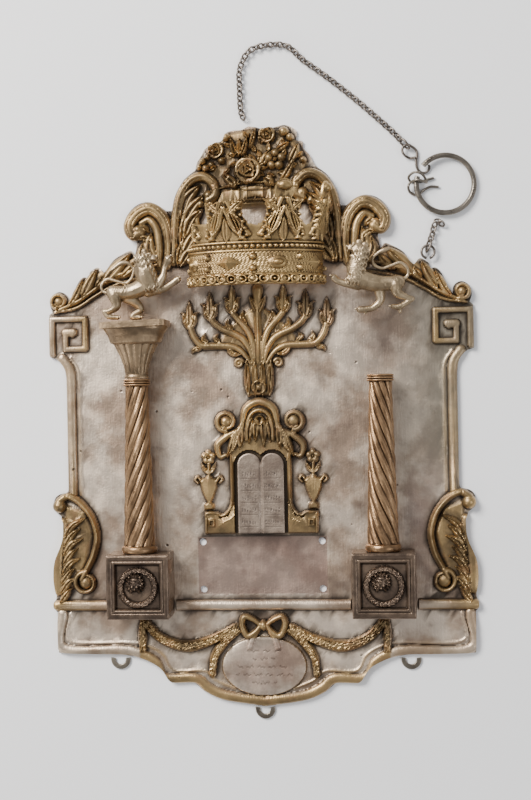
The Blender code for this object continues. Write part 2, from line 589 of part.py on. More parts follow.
def clipped_solid(r, inside, top, back):
    """Points and triangles of the closed solid between two surfaces on a relief's grid, where inside > 0."""
    rows, cols = r.h.shape
    count = rows * cols
    flags = inside.ravel() > 0
    index = np.arange(count).reshape(rows, cols)
    corner = [index[:-1, :-1].ravel(), index[:-1, 1:].ravel(), index[1:, 1:].ravel(), index[1:, :-1].ravel()]
    edge_id = [count + corner[0], 2 * count + corner[1], count + corner[3], 2 * count + corner[0]]
    case = sum(flags[c].astype(int) << k for k, c in enumerate(corner))
    triangles = []
    for value in range(1, 16):
        cells = np.flatnonzero(case == value)
        ring = []
        for k in range(4):
            here, after = value >> k & 1, value >> (k + 1) % 4 & 1
            if here:
                ring.append(corner[k][cells])
            if here != after:
                ring.append(edge_id[k][cells])
        triangles += [np.column_stack([ring[0], b, c]) for b, c in zip(ring[1:], ring[2:])]
    triangles = np.vstack(triangles)
    used, triangles = np.unique(triangles, return_inverse=True)
    triangles = triangles.reshape(-1, 3)
    value = inside.ravel()
    fields = np.column_stack([r.x.ravel(), r.y.ravel(), top.ravel(), back.ravel()])
    first = used % count
    kind = used // count
    other = np.where(kind == 1, first + 1, np.where(kind == 2, first + cols, first))
    gap = value[first] - value[other]
    share = np.where(kind > 0, np.clip(value[first] / np.where(gap == 0, 1, gap), 0.1, 0.9), 0)[:, None]
    points = fields[first] * (1 - share) + fields[other] * share
    edges = np.concatenate([triangles[:, [0, 1]], triangles[:, [1, 2]], triangles[:, [2, 0]]])
    _, where, times = np.unique(np.sort(edges, axis=1), axis=0, return_index=True, return_counts=True)
    rim = edges[where[times == 1]]
    n = len(points)
    wall = np.vstack([np.column_stack([rim[:, 1], rim[:, 0], rim[:, 0] + n]),
                      np.column_stack([rim[:, 1], rim[:, 0] + n, rim[:, 1] + n])])
    everything = np.vstack([triangles, triangles[:, ::-1] + n, wall])
    return np.vstack([points[:, [0, 1, 2]], points[:, [0, 1, 3]]]), everything


def mesh_from(name, points, faces):
    mesh = bpy.data.meshes.new(name)
    mesh.vertices.add(len(points))
    mesh.vertices.foreach_set("co", np.ascontiguousarray(points, np.float32).ravel())
    mesh.loops.add(3 * len(faces))
    mesh.loops.foreach_set("vertex_index", np.ascontiguousarray(faces, np.int32).ravel())
    mesh.polygons.add(len(faces))
    mesh.polygons.foreach_set("loop_start", np.arange(0, 3 * len(faces), 3, dtype=np.int32))
    mesh.update(calc_edges=True)
    mesh.validate()
    return mesh


def material(name, colour, roughness, metallic=1.0):
    mat = bpy.data.materials.get(name) or bpy.data.materials.new(name)
    mat.use_nodes = True
    shader = mat.node_tree.nodes["Principled BSDF"]
    shader.inputs["Base Color"].default_value = (*colour, 1)
    shader.inputs["Roughness"].default_value = roughness
    shader.inputs["Metallic"].default_value = metallic
    return mat


def silver():
    return material("silver", (0.62, 0.55, 0.50), 0.38)


def gilt():
    return material("gilt", (0.62, 0.45, 0.22), 0.34)


def dark_metal():
    return material("dark_metal", (0.16, 0.13, 0.11), 0.45)


def place(name, mesh, finish):
    """Puts a mesh in the shield's collection under the name of its piece."""
    obj = bpy.data.objects.new(name, mesh)
    mesh.materials.clear()
    mesh.materials.append(finish)
    bpy.data.collections["torah_shield"].objects.link(obj)
    return obj


def applied(obj, keep=True):
    """The object's mesh with its modifiers applied."""
    bpy.context.view_layer.update()
    graph = bpy.context.evaluated_depsgraph_get()
    mesh = bpy.data.meshes.new_from_object(obj.evaluated_get(graph))
    if not keep:
        bpy.data.objects.remove(obj)
    return mesh


def thinned(name, points, faces, target):
    """A mesh brought down to about so many triangles, which gather where the carving is."""
    mesh = mesh_from(name + "_fine", points, faces)
    obj = bpy.data.objects.new(name + "_fine", mesh)
    bpy.data.collections["torah_shield"].objects.link(obj)
    cut = obj.modifiers.new("thin", "DECIMATE")
    cut.ratio = min(1.0, target / len(faces))
    cut.use_collapse_triangulate = True
    return applied(obj, keep=False)


def cut_with(obj, cutters, operation="DIFFERENCE"):
    for cutter in cutters:
        cutter.hide_render = True
        cutter.display_type = "WIRE"
        step = obj.modifiers.new(cutter.name, "BOOLEAN")
        step.operation = operation
        step.object = cutter
        step.solver = "EXACT"


def helper(name, mesh):
    obj = bpy.data.objects.new(name, mesh)
    bpy.data.collections["cutters"].objects.link(obj)
    return obj


def box_mesh(name, low, high):
    mesh = bpy.data.meshes.new(name)
    bm = bmesh.new()
    bmesh.ops.create_cube(bm, size=1)
    for v in bm.verts:
        v.co = Vector([l + (c + 0.5) * (h - l) for c, l, h in zip(v.co, low, high)])
    bm.to_mesh(mesh)
    bm.free()
    return mesh


def rod_mesh(name, centre, radius, low, high, sides=8):
    """An upright cylinder from z = low to z = high."""
    mesh = bpy.data.meshes.new(name)
    bm = bmesh.new()
    bmesh.ops.create_cone(bm, cap_ends=True, segments=sides, radius1=radius, radius2=radius, depth=high - low)
    bmesh.ops.translate(bm, verts=bm.verts, vec=(centre[0], centre[1], 0.5 * (low + high)))
    bm.to_mesh(mesh)
    bm.free()
    return mesh


def build_plate():
    unit_x, unit_y = drawing_units()
    outline = plate_outline()
    low, high = outline.min(axis=0) - 2, outline.max(axis=0) + 2
    r = Relief(low, high, PLATE_GRID)
    carve_border(r)
    carve_rail(r)
    carve_tree(r)
    carve_ark(r)
    carve_garlands(r)
    for flip in (1, -1):
        carve_side_scroll(r, flip)
        carve_corner_crest(r, flip)
        carve_ear_scroll(r, flip)
        carve_inner_scroll(r, flip)
    carve_basket(r)
    flatten_seats(r)
    inside = inside_distance(r.x, r.y, outline)
    points, faces = clipped_solid(r, inside, SHEET + RELIEF * r.h, np.zeros(r.h.shape))
    points = points * (unit_x, unit_y, 1)
    mesh = thinned("plate", points, faces, PLATE_FACES)
    for v in mesh.vertices:
        if abs(v.co.z) < 0.1 * SHEET:
            v.co.z = 0
    plate = place("plate", mesh, silver())
    half = 0.5 * SEAT_WIDTH
    floor = SHEET - SEAT_DEPTH
    seat = helper("title_plate_seat", box_mesh("title_plate_seat", (-half, SEAT_TOP_Y - SEAT_HEIGHT, floor),
                                               (half, SEAT_TOP_Y, floor + SHEET)))
    holes = []
    for x in (-half + RIVET_INSET, half - RIVET_INSET):
        for y in (SEAT_TOP_Y - RIVET_INSET, SEAT_TOP_Y - SEAT_HEIGHT + RIVET_INSET):
            holes.append(helper("rivet_hole", rod_mesh("rivet_hole", (x, y), 0.5 * RIVET_HOLE, -SHEET,
                                                       2 * SHEET)))
    cut_with(plate, [seat] + holes)
    return plate


def highest_under(obj, low, high):
    """The top of a piece within a box, in its own mesh."""
    points = np.array([v.co[:] for v in obj.data.vertices])
    margin = 0.003
    near = (points[:, 0] > low[0] - margin) & (points[:, 0] < high[0] + margin)
    near &= (points[:, 1] > low[1] - margin) & (points[:, 1] < high[1] + margin)
    return points[near, 2].max() if near.any() else SHEET


def build_tablets():
    """Two round-topped tablets in one piece."""
    r = Relief((-16, 0), (16, 54), 0.9)
    half = 500 * TABLETS_WIDTH
    tall = 1000 * TABLETS_HEIGHT
    quarter = 0.5 * half
    across = np.abs(np.abs(r.x) - quarter)
    over = r.y - (tall - quarter)
    inside = np.where(over > 0, quarter - np.hypot(across, over), np.minimum(quarter - across, r.y - 0.4))
    inside = np.maximum(inside, np.where(r.y < tall - quarter, np.minimum(half - np.abs(r.x), r.y - 0.4), -1))
    valley = 0.7 * np.exp(-((r.x / 0.9) ** 2))
    top = 1000 * TABLETS_THICKNESS - valley
    points, faces = clipped_solid(r, inside, top, np.zeros(r.h.shape))
    points = points * 0.001 + (0, TABLETS_BOTTOM_Y, SHEET + CLEARANCE)
    place("tablets", thinned("tablets", points, faces, TABLETS_FACES), silver())


def fleuron_angles():
    return [math.radians(a) for a in (-70, -22, 26, 74)]


def build_crown(plate):
    """A pierced strip, drawn flat and bent forward."""
    arc = CROWN_DRAWN_HALF
    r = Relief((-arc, 0), (arc, 66), CROWN_GRID)
    inside, pierced = crown_mask(r)
    carve_crown(r)
    wall = 1000 * CROWN_WALL
    points, faces = clipped_solid(r, np.minimum(inside, pierced), wall + r.h * 1000 * CROWN_RELIEF,
                                  np.zeros(r.h.shape))
    theta = points[:, 0] / arc * math.radians(CROWN_HALF_TURN_DEG)
    up = np.where(points[:, 1] < CROWN_DRAWN_BAND, points[:, 1] * CROWN_BAND / CROWN_DRAWN_BAND,
                  CROWN_BAND + (points[:, 1] - CROWN_DRAWN_BAND) * FLEURON_HEIGHT / CROWN_DRAWN_FLEURON)
    share = np.clip((up - 0.8 * CROWN_BAND) / FLEURON_HEIGHT, 0, 1)
    out = 0.001 * points[:, 2] + CROWN_FLARE * share**1.5
    x = (CROWN_HALF_WIDTH - CROWN_WALL + out) * np.sin(theta)
    z = (CROWN_BULGE + out) * np.cos(theta)
    y = CROWN_BOTTOM_Y + up
    top_y = CROWN_BOTTOM_Y + CROWN_BAND + FLEURON_HEIGHT
    resting = 0
    for side in (-1, 1):
        ends = sorted((side * 0.6 * CROWN_HALF_WIDTH, side * (CROWN_HALF_WIDTH + CROWN_FLARE)))
        resting = max(resting, highest_under(plate, (ends[0], CROWN_BOTTOM_Y), (ends[1], top_y)))
    z = z - z.min() + resting + CLEARANCE
    mesh = thinned("crown", np.column_stack([x, y, z]), faces, CROWN_FACES)
    return place("crown", mesh, gilt())


def drawn_x(angle):
    """Where an angle round the crown lies on the flat strip."""
    return angle / math.radians(CROWN_HALF_TURN_DEG) * CROWN_DRAWN_HALF


def crown_mask(r):
    """Where the flat strip has metal: the band and the leafy fleurons, without the openings between them."""
    scallop = 0.7 * np.abs(np.sin(1.1 * r.y + 0.9 * r.x))
    inside = np.minimum(CROWN_DRAWN_HALF - 1 - np.abs(r.x), r.y - 0.5)
    torn = np.maximum(24.5 - r.y, 0.9 * (r.x + 40.5) - 0.42 * (r.y - 24.5) + 0.5 * np.sin(1.4 * r.y))
    inside = np.minimum(inside, torn)
    solid = 38.5 - r.y
    for k, angle in enumerate(fleuron_angles()):
        dx = r.x - drawn_x(angle)
        missing = k < 2
        top = (51.5 if missing else 52.5) - 0.9 * np.abs(np.sin(0.9 * dx))
        leaf = np.minimum(top - r.y, 11 - np.abs(dx))
        solid = np.maximum(solid, leaf)
        if not missing:
            bud = 1 - np.hypot(dx / 4.8, (r.y - 57) / 7.2)
            solid = np.maximum(solid, 4.8 * bud)
    pierced = np.full(r.x.shape, 9.0)
    angles = fleuron_angles()
    for a, b in zip(angles[1:], angles[2:]):
        dx = r.x - drawn_x(0.5 * (a + b))
        spade = np.hypot(dx / 5.6, (r.y - 45.5) / 8.2) - 1
        pierced = np.minimum(pierced, 5.6 * spade - scallop)
    return np.minimum(inside, solid), pierced


def carve_crown(r):
    """Beads, stones and leaves on the flat strip."""
    arc = CROWN_DRAWN_HALF
    step = drawn_x(math.radians(STONE_STEP_DEG))
    for y, height in ((1.2, 1.2), (6.6, 0.8), (21.2, 0.8), (26.2, 1.0)):
        r.stroke([(-arc, y), (0, y), (arc, y)], [0.8, 0.8], [height, height])
    for k in range(-6, 7):
        r.ball(7.6 * k, 3.8, 2.7, 1.9)
    for k in range(-16, 17):
        r.ball(3 * k, 23.8, 1.3, 1.6)
    for k in range(-4, 5):
        cx = k * step
        if k % 2 == 0:
            r.ball(cx, 10.4, 1.9, 2.6)
            r.ball(cx, 17.4, 1.9, 2.6)
        elif k in (-1, 3):
            win = r.window(cx - 8, 8, cx + 8, 20)
            share = np.abs(r.x[win] - cx) / 7.4 + np.abs(r.y[win] - 13.9) / 4.8
            r.raise_to(win, 3.4 * np.clip(1 - share, 0, 1))
        else:
            r.ball(cx, 13.9, 5, 1.6, 4)
            r.ball(cx, 13.9, 3, 3.2, 2)
    for angle in fleuron_angles():
        cx = drawn_x(angle)
        for flip in (1, -1):
            r.stroke([(cx, 47), (cx + flip * 2.6, 40), (cx + flip * 5.4, 33), (cx + flip * 9.6, 28)],
                     [1.2, 1.3, 1.1], [2.6, 2.4, 1.6])
            r.stroke([(cx + flip * 1.6, 52), (cx + flip * 4.4, 44), (cx + flip * 8, 37),
                      (cx + flip * 12, 31)], [1.3, 1.2], [2.2, 1.4])
            r.leaf([(cx + flip * 3, 44), (cx + flip * 6, 48), (cx + flip * 9.6, 51.4)], 2, 2.2)
        r.leaf([(cx, 27), (cx, 33), (cx, 41)], 2.6, 1.6)
        r.ball(cx, 60, 3.4, 2.8, 3)


def swept(name, paths, balls, voxel, target):
    """One body grown from tapering limbs and rounded masses, each given with its radii."""
    shapes = bmesh.new()
    for path in paths:
        line = spline(path, 6)
        for x, y, z, radius in line:
            add_ball(shapes, (x, y, z), (radius, radius, radius))
    for (x, y, z), radii in balls:
        add_ball(shapes, (x, y, z), radii)
    mesh = bpy.data.meshes.new(name + "_shapes")
    shapes.to_mesh(mesh)
    shapes.free()
    obj = bpy.data.objects.new(name + "_shapes", mesh)
    bpy.data.collections["torah_shield"].objects.link(obj)
    grown = obj.modifiers.new("grown", "REMESH")
    grown.mode = "VOXEL"
    grown.voxel_size = voxel
    soft = obj.modifiers.new("soft", "SMOOTH")
    soft.iterations = 2
    thin = obj.modifiers.new("thin", "DECIMATE")
    bpy.context.view_layer.update()
    graph = bpy.context.evaluated_depsgraph_get()
    thin.ratio = 1.0
    faces = 2 * len(obj.evaluated_get(graph).data.polygons)
    thin.ratio = min(1.0, target / faces)
    thin.use_collapse_triangulate = True
    return applied(obj, keep=False)


def add_ball(bm, centre, radii):
    made = bmesh.ops.create_icosphere(bm, subdivisions=2, radius=1)
    matrix = Matrix.Translation(centre) @ Matrix.Diagonal((*radii, 1))
    bmesh.ops.transform(bm, matrix=matrix, verts=made["verts"])


def lion_limbs():
    """The left lion: it looks to +x and lifts a paw. Units of its length, feet at y = 0, middle at z = 0."""
    return [
        [(0.11, 0.38, 0, 0.10), (0.30, 0.37, 0, 0.105), (0.48, 0.42, 0, 0.125), (0.61, 0.50, 0, 0.15)],
        [(0.13, 0.34, 0.02, 0.095), (0.16, 0.20, 0.03, 0.065), (0.08, 0.13, 0.03, 0.045),
         (-0.01, 0.12, 0.03, 0.035)],
        [(-0.01, 0.12, 0.03, 0.035), (0.04, 0.05, 0.03, 0.035), (0.17, 0.035, 0.03, 0.035)],
        [(0.28, 0.31, -0.03, 0.08), (0.41, 0.24, -0.03, 0.07), (0.49, 0.14, -0.03, 0.045),
         (0.40, 0.08, -0.03, 0.042),
         (0.37, 0.04, -0.03, 0.04), (0.47, 0.035, -0.03, 0.035)],
        [(0.60, 0.38, 0, 0.085), (0.80, 0.41, 0, 0.056), (0.92, 0.47, 0, 0.046), (1.01, 0.53, 0, 0.05)],
        [(0.76, 0.48, 0.04, 0.07), (0.82, 0.58, 0.05, 0.05), (0.85, 0.70, 0.05, 0.042),
         (0.90, 0.80, 0.05, 0.066)],
        [(0.065, 0.36, 0, 0.03), (-0.034, 0.404, 0, 0.022), (-0.048, 0.489, 0, 0.022),
         (0.037, 0.56, 0, 0.022),
         (0.164, 0.53, 0, 0.022), (0.292, 0.50, 0, 0.022), (0.377, 0.574, 0, 0.022), (0.398, 0.687, 0, 0.022),
         (0.334, 0.765, 0, 0.026), (0.235, 0.772, 0, 0.034), (0.164, 0.73, 0, 0.03), (0.09, 0.68, 0, 0.018)],
        [(0.53, 0.78, 0.02, 0.12), (0.57, 0.62, 0.03, 0.15), (0.63, 0.48, 0.03, 0.14)],
    ]


def lion_masses():
    """The left lion's head: skull, muzzle, jaw and ears."""
    return [
        ((0.60, 0.81, 0.04), (0.10, 0.10, 0.10)),
        ((0.69, 0.83, 0.05), (0.07, 0.05, 0.07)),
        ((0.655, 0.715, 0.05), (0.055, 0.03, 0.055)),
        ((0.48, 0.85, 0.05), (0.04, 0.045, 0.03)),
        ((0.565, 0.915, 0.05), (0.045, 0.045, 0.03)),
    ]


def worn_lion_limbs():
    """The right lion, drawn to +x like the other. Its raised paw is lost and pins show under its feet."""
    return [
        [(0.17, 0.41, 0, 0.10), (0.34, 0.40, 0, 0.105), (0.52, 0.42, 0, 0.125), (0.70, 0.48, 0, 0.14)],
        [(0.20, 0.38, 0.02, 0.095), (0.18, 0.27, 0.03, 0.07), (0.07, 0.21, 0.03, 0.045),
         (-0.01, 0.185, 0.03, 0.04)],
        [(-0.01, 0.185, 0.03, 0.04), (0.07, 0.13, 0.03, 0.035), (0.16, 0.085, 0.03, 0.042),
         (0.24, 0.09, 0.03, 0.035)],
        [(0.15, 0.08, 0.02, 0.025), (0.15, 0.02, 0.02, 0.022)],
        [(0.42, 0.34, -0.03, 0.085), (0.41, 0.18, -0.03, 0.055), (0.50, 0.09, -0.03, 0.045),
         (0.58, 0.07, -0.03, 0.045),
         (0.69, 0.065, -0.03, 0.045)],
        [(0.61, 0.06, -0.03, 0.025), (0.61, 0.02, -0.03, 0.022)],
        [(0.70, 0.40, 0, 0.085), (0.84, 0.41, 0, 0.056), (0.97, 0.45, 0, 0.046), (1.03, 0.50, 0, 0.048)],
        [(0.12, 0.44, 0, 0.03), (0.04, 0.50, 0, 0.022), (0.045, 0.60, 0, 0.022), (0.136, 0.672, 0, 0.022),
         (0.263, 0.637, 0, 0.022), (0.377, 0.605, 0, 0.022), (0.48, 0.65, 0, 0.022), (0.504, 0.737, 0, 0.022),
         (0.43, 0.81, 0, 0.024), (0.36, 0.84, 0, 0.036), (0.30, 0.86, 0, 0.03)],
        [(0.64, 0.80, 0.02, 0.11), (0.72, 0.64, 0.03, 0.135), (0.74, 0.50, 0.03, 0.12)],
    ]


def worn_lion_masses():
    return [
        ((0.70, 0.86, 0.04), (0.10, 0.095, 0.10)),
        ((0.79, 0.89, 0.05), (0.065, 0.05, 0.07)),
        ((0.765, 0.775, 0.05), (0.055, 0.03, 0.055)),
        ((0.60, 0.92, 0.05), (0.045, 0.045, 0.03)),
        ((0.68, 0.96, 0.05), (0.045, 0.04, 0.03)),
    ]


def build_lion(name, paths, balls, flip):
    """A lion at the height of the capital's top, with its paws beside the crown."""
    mesh = swept(name, paths, balls, 0.02, LION_FACES)
    deep = LION_THICKNESS / (0.27 * LION_LENGTH)
    mesh.transform(Matrix.Diagonal((flip * LION_LENGTH, LION_LENGTH, LION_LENGTH * deep, 1)))
    if flip < 0:
        mesh.flip_normals()
    points = np.array([v.co[:] for v in mesh.vertices])
    low, high = points.min(axis=0), points.max(axis=0)
    beside = CROWN_HALF_WIDTH + LION_TO_CROWN
    x = -beside - high[0] if flip > 0 else beside - low[0]
    mesh.transform(Matrix.Translation((x, capital_top_y() + CLEARANCE - low[1],
                                       SHEET + LION_STAND_OFF - low[2])))
    return place(name, mesh, gilt())


def turned_solid(name, rows, radius_at, sides, matrix, turn_at=lambda row: 0):
    """A closed solid turned about Y: radius_at(row, angle) gives its radius and turn_at(row) its twist."""
    even = 2 * math.pi * np.arange(sides) / sides
    points = []
    for row in rows:
        angles = even - turn_at(row)
        rad = radius_at(row, angles)
        points.append(np.column_stack([rad * np.cos(angles), np.full(sides, row), -rad * np.sin(angles)]))
    points = np.vstack(points + [[(0, rows[0], 0), (0, rows[-1], 0)]])
    faces = []
    for j in range(len(rows) - 1):
        for i in range(sides):
            a, b = j * sides + i, j * sides + (i + 1) % sides
            faces += [(a, b, b + sides), (a, b + sides, a + sides)]
    last = (len(rows) - 1) * sides
    for i in range(sides):
        k = (i + 1) % sides
        faces += [(len(points) - 2, k, i), (len(points) - 1, last + i, last + k)]
    mesh = mesh_from(name, points, np.array(faces))
    mesh.transform(matrix)
    return mesh


def column_axis_z():
    return SHEET + CLEARANCE + COLUMN_RING_RADIUS


def column_foot_y():
    return PEDESTAL_BOTTOM_Y + PEDESTAL_HEIGHT + CLEARANCE


def build_column(name, side):
    """A twisted shaft between a foot ring and a neck ring."""
    ring = COLUMN_RING_HEIGHT
    foot, top = column_foot_y(), column_foot_y() + COLUMN_LENGTH
    shaft = np.linspace(foot + ring + 0.0004, top - ring - 0.0004, 12)
    rows = [foot, foot + 0.3 * ring, foot + 0.7 * ring, foot + ring, *shaft, top - ring, top - 0.75 * ring,
            top - 0.35 * ring, top]
    strands = 6

    def radius_at(y, angles):
        share = (y - foot) / COLUMN_LENGTH
        base = COLUMN_FOOT_RADIUS + (COLUMN_TOP_RADIUS - COLUMN_FOOT_RADIUS) * share
        if y <= foot + ring:
            return np.full(len(angles),
                           COLUMN_RING_RADIUS if foot < y < foot + ring else 0.93 * COLUMN_RING_RADIUS)
        if y >= top - ring:
            return np.full(len(angles), base + (0.0016 if top - ring < y < top else 0.0008))
        return base - STRAND_RELIEF * (0.5 - 0.5 * np.cos(strands * (angles + turn_at(y))))

    def turn_at(y):
        return side * 2 * math.pi * COLUMN_TURNS * (y - foot) / COLUMN_LENGTH

    matrix = Matrix.Translation((side * 0.5 * COLUMN_SPACING, 0, column_axis_z()))
    return place(name, turned_solid(name, rows, radius_at, 12, matrix, turn_at), gilt())


def build_pedestal(name, side):
    """A box with bulging flanks, a framed hollow panel, a wreath and a small mask."""
    half, tall, deep = 500 * PEDESTAL_WIDTH, 1000 * PEDESTAL_HEIGHT, 1000 * PEDESTAL_DEPTH
    r = Relief((-half - 1, -0.5 * tall - 1), (half + 1, 0.5 * tall + 1), 0.9)
    bulge = 0.6 * (1 - (r.y / (0.5 * tall)) ** 2)
    inside = np.minimum(half - 0.6 + bulge - np.abs(r.x), 0.5 * tall - np.abs(r.y))
    panel = 500 * PEDESTAL_PANEL - np.maximum(np.abs(r.x), np.abs(r.y))
    hollow = 2.2 * np.clip(panel / 1.6, 0, 1)
    r.ring(0, -0.4, 1000 * WREATH_RADIUS, 2.2, 2.2)
    r.ball(-1.6, 2.2, 4, 4.2, 5)
    edge = 1.2 * np.clip(1 - np.minimum(half - np.abs(r.x), 0.5 * tall - np.abs(r.y)) / 1.6, 0, 1)
    top = deep - 1.2 - hollow + r.h * 0.9 - edge
    points, faces = clipped_solid(r, inside, top, np.zeros(r.h.shape))
    centre_y = PEDESTAL_BOTTOM_Y + 0.5 * PEDESTAL_HEIGHT
    points = points * 0.001 + (side * 0.5 * COLUMN_SPACING, centre_y, SHEET + CLEARANCE)
    return place(name, thinned(name, points, faces, PEDESTAL_FACES), dark_metal())


def build_capital():
    """The left capital: a fluted bell, a bowl and a slab that has tipped a little, all flat at the back."""
    foot = column_foot_y() + COLUMN_LENGTH + CLEARANCE
    bell_top = foot + CAPITAL_BELL
    bowl_top = bell_top + CAPITAL_BOWL
    rows = [foot, foot + 0.1 * CAPITAL_BELL, foot + 0.4 * CAPITAL_BELL, foot + 0.7 * CAPITAL_BELL, bell_top,
            bell_top + 0.15 * CAPITAL_BOWL, bell_top + 0.55 * CAPITAL_BOWL, bowl_top]
    shares = [0.36, 0.34, 0.40, 0.52, 0.68, 0.80, 0.98, 1.0]

    def radius_at(y, angles):
        base = CAPITAL_RADIUS * shares[rows.index(y)]
        if y <= foot or y > bell_top:
            return np.full(len(angles), base)
        return base * (1 - 0.09 * (0.5 - 0.5 * np.cos(9 * angles)))

    flat = 0.66
    axis = Matrix.Translation((-0.5 * COLUMN_SPACING, 0, column_axis_z()))
    bell = turned_solid("capital_left", rows, radius_at, 18, axis @ Matrix.Diagonal((1, 1, flat, 1)))
    obj = place("capital_left", bell, gilt())
    back = SHEET + CLEARANCE
    half = 0.5 * ABACUS_WIDTH
    slab = box_mesh("abacus", (-half, 0, back), (half, ABACUS_THICKNESS, back + ABACUS_DEPTH))
    slab.transform(Matrix.Translation((-0.5 * COLUMN_SPACING, bowl_top - abacus_dip(),
                                       0)) @ Matrix.Rotation(math.radians(ABACUS_TILT_DEG), 4, "Z"))
    slab_obj = helper("abacus", slab)
    keep = helper("in_front", box_mesh("in_front", (-0.5 * COLUMN_SPACING - 2 * half, foot - half, back),
                                       (-0.5 * COLUMN_SPACING + 2 * half, bowl_top + 2 * half,
                                        back + 4 * half)))
    cut_with(obj, [slab_obj], "UNION")
    cut_with(obj, [keep], "INTERSECT")
    return obj


def abacus_dip():
    """How far the tipped slab sinks into the bowl's rim."""
    return 0.5 * ABACUS_WIDTH * math.sin(math.radians(ABACUS_TILT_DEG)) + CLEARANCE


def capital_top_y():
    foot = column_foot_y() + COLUMN_LENGTH + CLEARANCE
    lift = 0.5 * ABACUS_WIDTH * math.sin(math.radians(ABACUS_TILT_DEG))
    return foot + CAPITAL_BELL + CAPITAL_BOWL - abacus_dip() + ABACUS_THICKNESS + lift


def washer(name, x, edge_y):
    """A flat washer whose top lies behind the plate's edge line."""
    centre_y = edge_y - 0.5 * WASHER_OUTER + WASHER_OVERHANG
    obj = place(name, rod_mesh(name, (x, centre_y), 0.5 * WASHER_OUTER, 0, WASHER_THICKNESS, 16),
                dark_metal())
    bore = helper(name + "_bore", rod_mesh(name + "_bore", (x, centre_y), 0.5 * WASHER_BORE,
                                           -WASHER_THICKNESS, 2 * WASHER_THICKNESS, 12))
    reach = WASHER_OUTER
    trim = helper(name + "_trim", box_mesh(name + "_trim", (x - reach, edge_y - 2 * CLEARANCE, -reach),
                                           (x + reach, edge_y + reach, reach)))
    cut_with(obj, [bore, trim])
    return obj


def build_washers():
    unit_x, unit_y = drawing_units()
    outline = plate_outline()
    for name, x in (("bell_ring_left", -92), ("bell_ring_middle", 0), ("bell_ring_right", 92)):
        near = outline[(np.abs(outline[:, 0] - x) < 12) & (outline[:, 1] < -140)]
        washer(name, x * unit_x, unit_y * near[:, 1].min())


def link_mesh(bm, centre, along, tilt, length=None, width=None, wire=None):
    """An oval chain link, rolled about its own length."""
    length, width, wire = length or LINK_LENGTH, width or LINK_WIDTH, wire or LINK_WIRE
    around, across = 4, 4
    corner = 1 / math.cos(math.pi / around)
    points = []
    for i in range(around):
        a = 2 * math.pi * (i + 0.5) / around
        mid = corner * Vector((0.5 * (length - wire) * math.cos(a), 0.5 * (width - wire) * math.sin(a), 0))
        out = Vector((math.cos(a), math.sin(a), 0))
        for j in range(across):
            b = 2 * math.pi * j / across
            points.append(mid + 0.5 * wire * (corner * out * math.cos(b) + Vector((0, 0, math.sin(b)))))
    turn = Matrix.Rotation(math.atan2(along[1], along[0]), 4, "Z") @ Matrix.Rotation(tilt, 4, "X")
    verts = [bm.verts.new(Matrix.Translation(centre) @ turn @ p) for p in points]
    for i in range(around):
        for j in range(across):
            a, b = i * across + j, i * across + (j + 1) % across
            c, d = (i + 1) % around * across + j, (i + 1) % around * across + (j + 1) % across
            bm.faces.new((verts[a], verts[c], verts[d], verts[b]))


def crest_top():
    return 0.5 * PLATE_HEIGHT


def chain_route():
    """Where the chain lies, from the crest to the hook, measured from the top of the plate."""
    points = [(-6.6, 4.4), (-8.4, 10), (-8.8, 23), (-8.4, 36.4), (-2, 47.4), (10.6, 50.6), (22, 49),
              (31.4, 40.2), (48, 27.4), (66.4, 11.8), (84.4, -5)]
    end_x, end_y, _ = from_ring([(-26.8, 28.2, 0)])[0]
    return spline([(0.001 * x, crest_top() + 0.001 * y) for x, y in points] + [(end_x, end_y)], 12)


def fused_chain(name, route, finish, big_first=None, big_last=None):
    """Links along a route, fused where each touches the next.

    big_first and big_last give the height of a big link that hangs on at that end.
    """
    steps = np.concatenate([[0], np.cumsum(np.hypot(*np.diff(route, axis=0).T))])
    count = round(steps[-1] / (LINK_LENGTH - 2 * LINK_WIRE + LINK_BITE))
    halves = []
    for first in (0, 1):
        bm = bmesh.new()
        for k in range(first, count, 2):
            at = (k + 0.5) / count * steps[-1]
            here = [np.interp(at, steps, route[:, i]) for i in (0, 1)]
            ahead = [np.interp(at + 0.001, steps, route[:, i]) for i in (0, 1)]
            along = (ahead[0] - here[0], ahead[1] - here[1])
            tilt = math.radians(33 if first else -27)
            link_mesh(bm, (*here, 0.5 * LINK_WIRE + 0.36 * LINK_WIDTH), along, tilt)
        for level, end in ((big_first, 0), (big_last, -1)):
            if level is None or first != (1 if end == 0 else count % 2):
                continue
            outward = route[end] - route[1 if end == 0 else -2]
            outward = outward / np.hypot(*outward)
            middle = route[end] + outward * (0.5 * BIG_LINK_LENGTH - BIG_LINK_WIRE)
            tilt = math.radians(BIG_LINK_TILT_DEG)
            size = (BIG_LINK_LENGTH, BIG_LINK_WIDTH, BIG_LINK_WIRE)
            link_mesh(bm, (*middle, level), outward, tilt, *size)
        mesh = bpy.data.meshes.new(name)
        bm.to_mesh(mesh)
        bm.free()
        halves.append(mesh)
    obj = place(name, halves[0], finish)
    cut_with(obj, [helper(name + "_between", halves[1])], "UNION")
    return obj


def wire_object(name, points, diameter, finish, steps=5, smooth=True):
    """A round wire through the points, with its ends capped."""
    line = spline(points, steps) if smooth else np.array(points)
    line[:, 2] = np.maximum(line[:, 2], 0.5 * diameter + FLOOR_GAP)
    data = bpy.data.curves.new(name, "CURVE")
    data.dimensions = "3D"
    data.bevel_depth = 0.5 * diameter
    data.bevel_resolution = 1
    data.use_fill_caps = True
    path = data.splines.new("POLY")
    path.points.add(len(line) - 1)
    for point, at in zip(path.points, line):
        point.co = (*at, 1)
    obj = bpy.data.objects.new(name, data)
    data.materials.append(finish)
    bpy.data.collections["torah_shield"].objects.link(obj)
    return obj


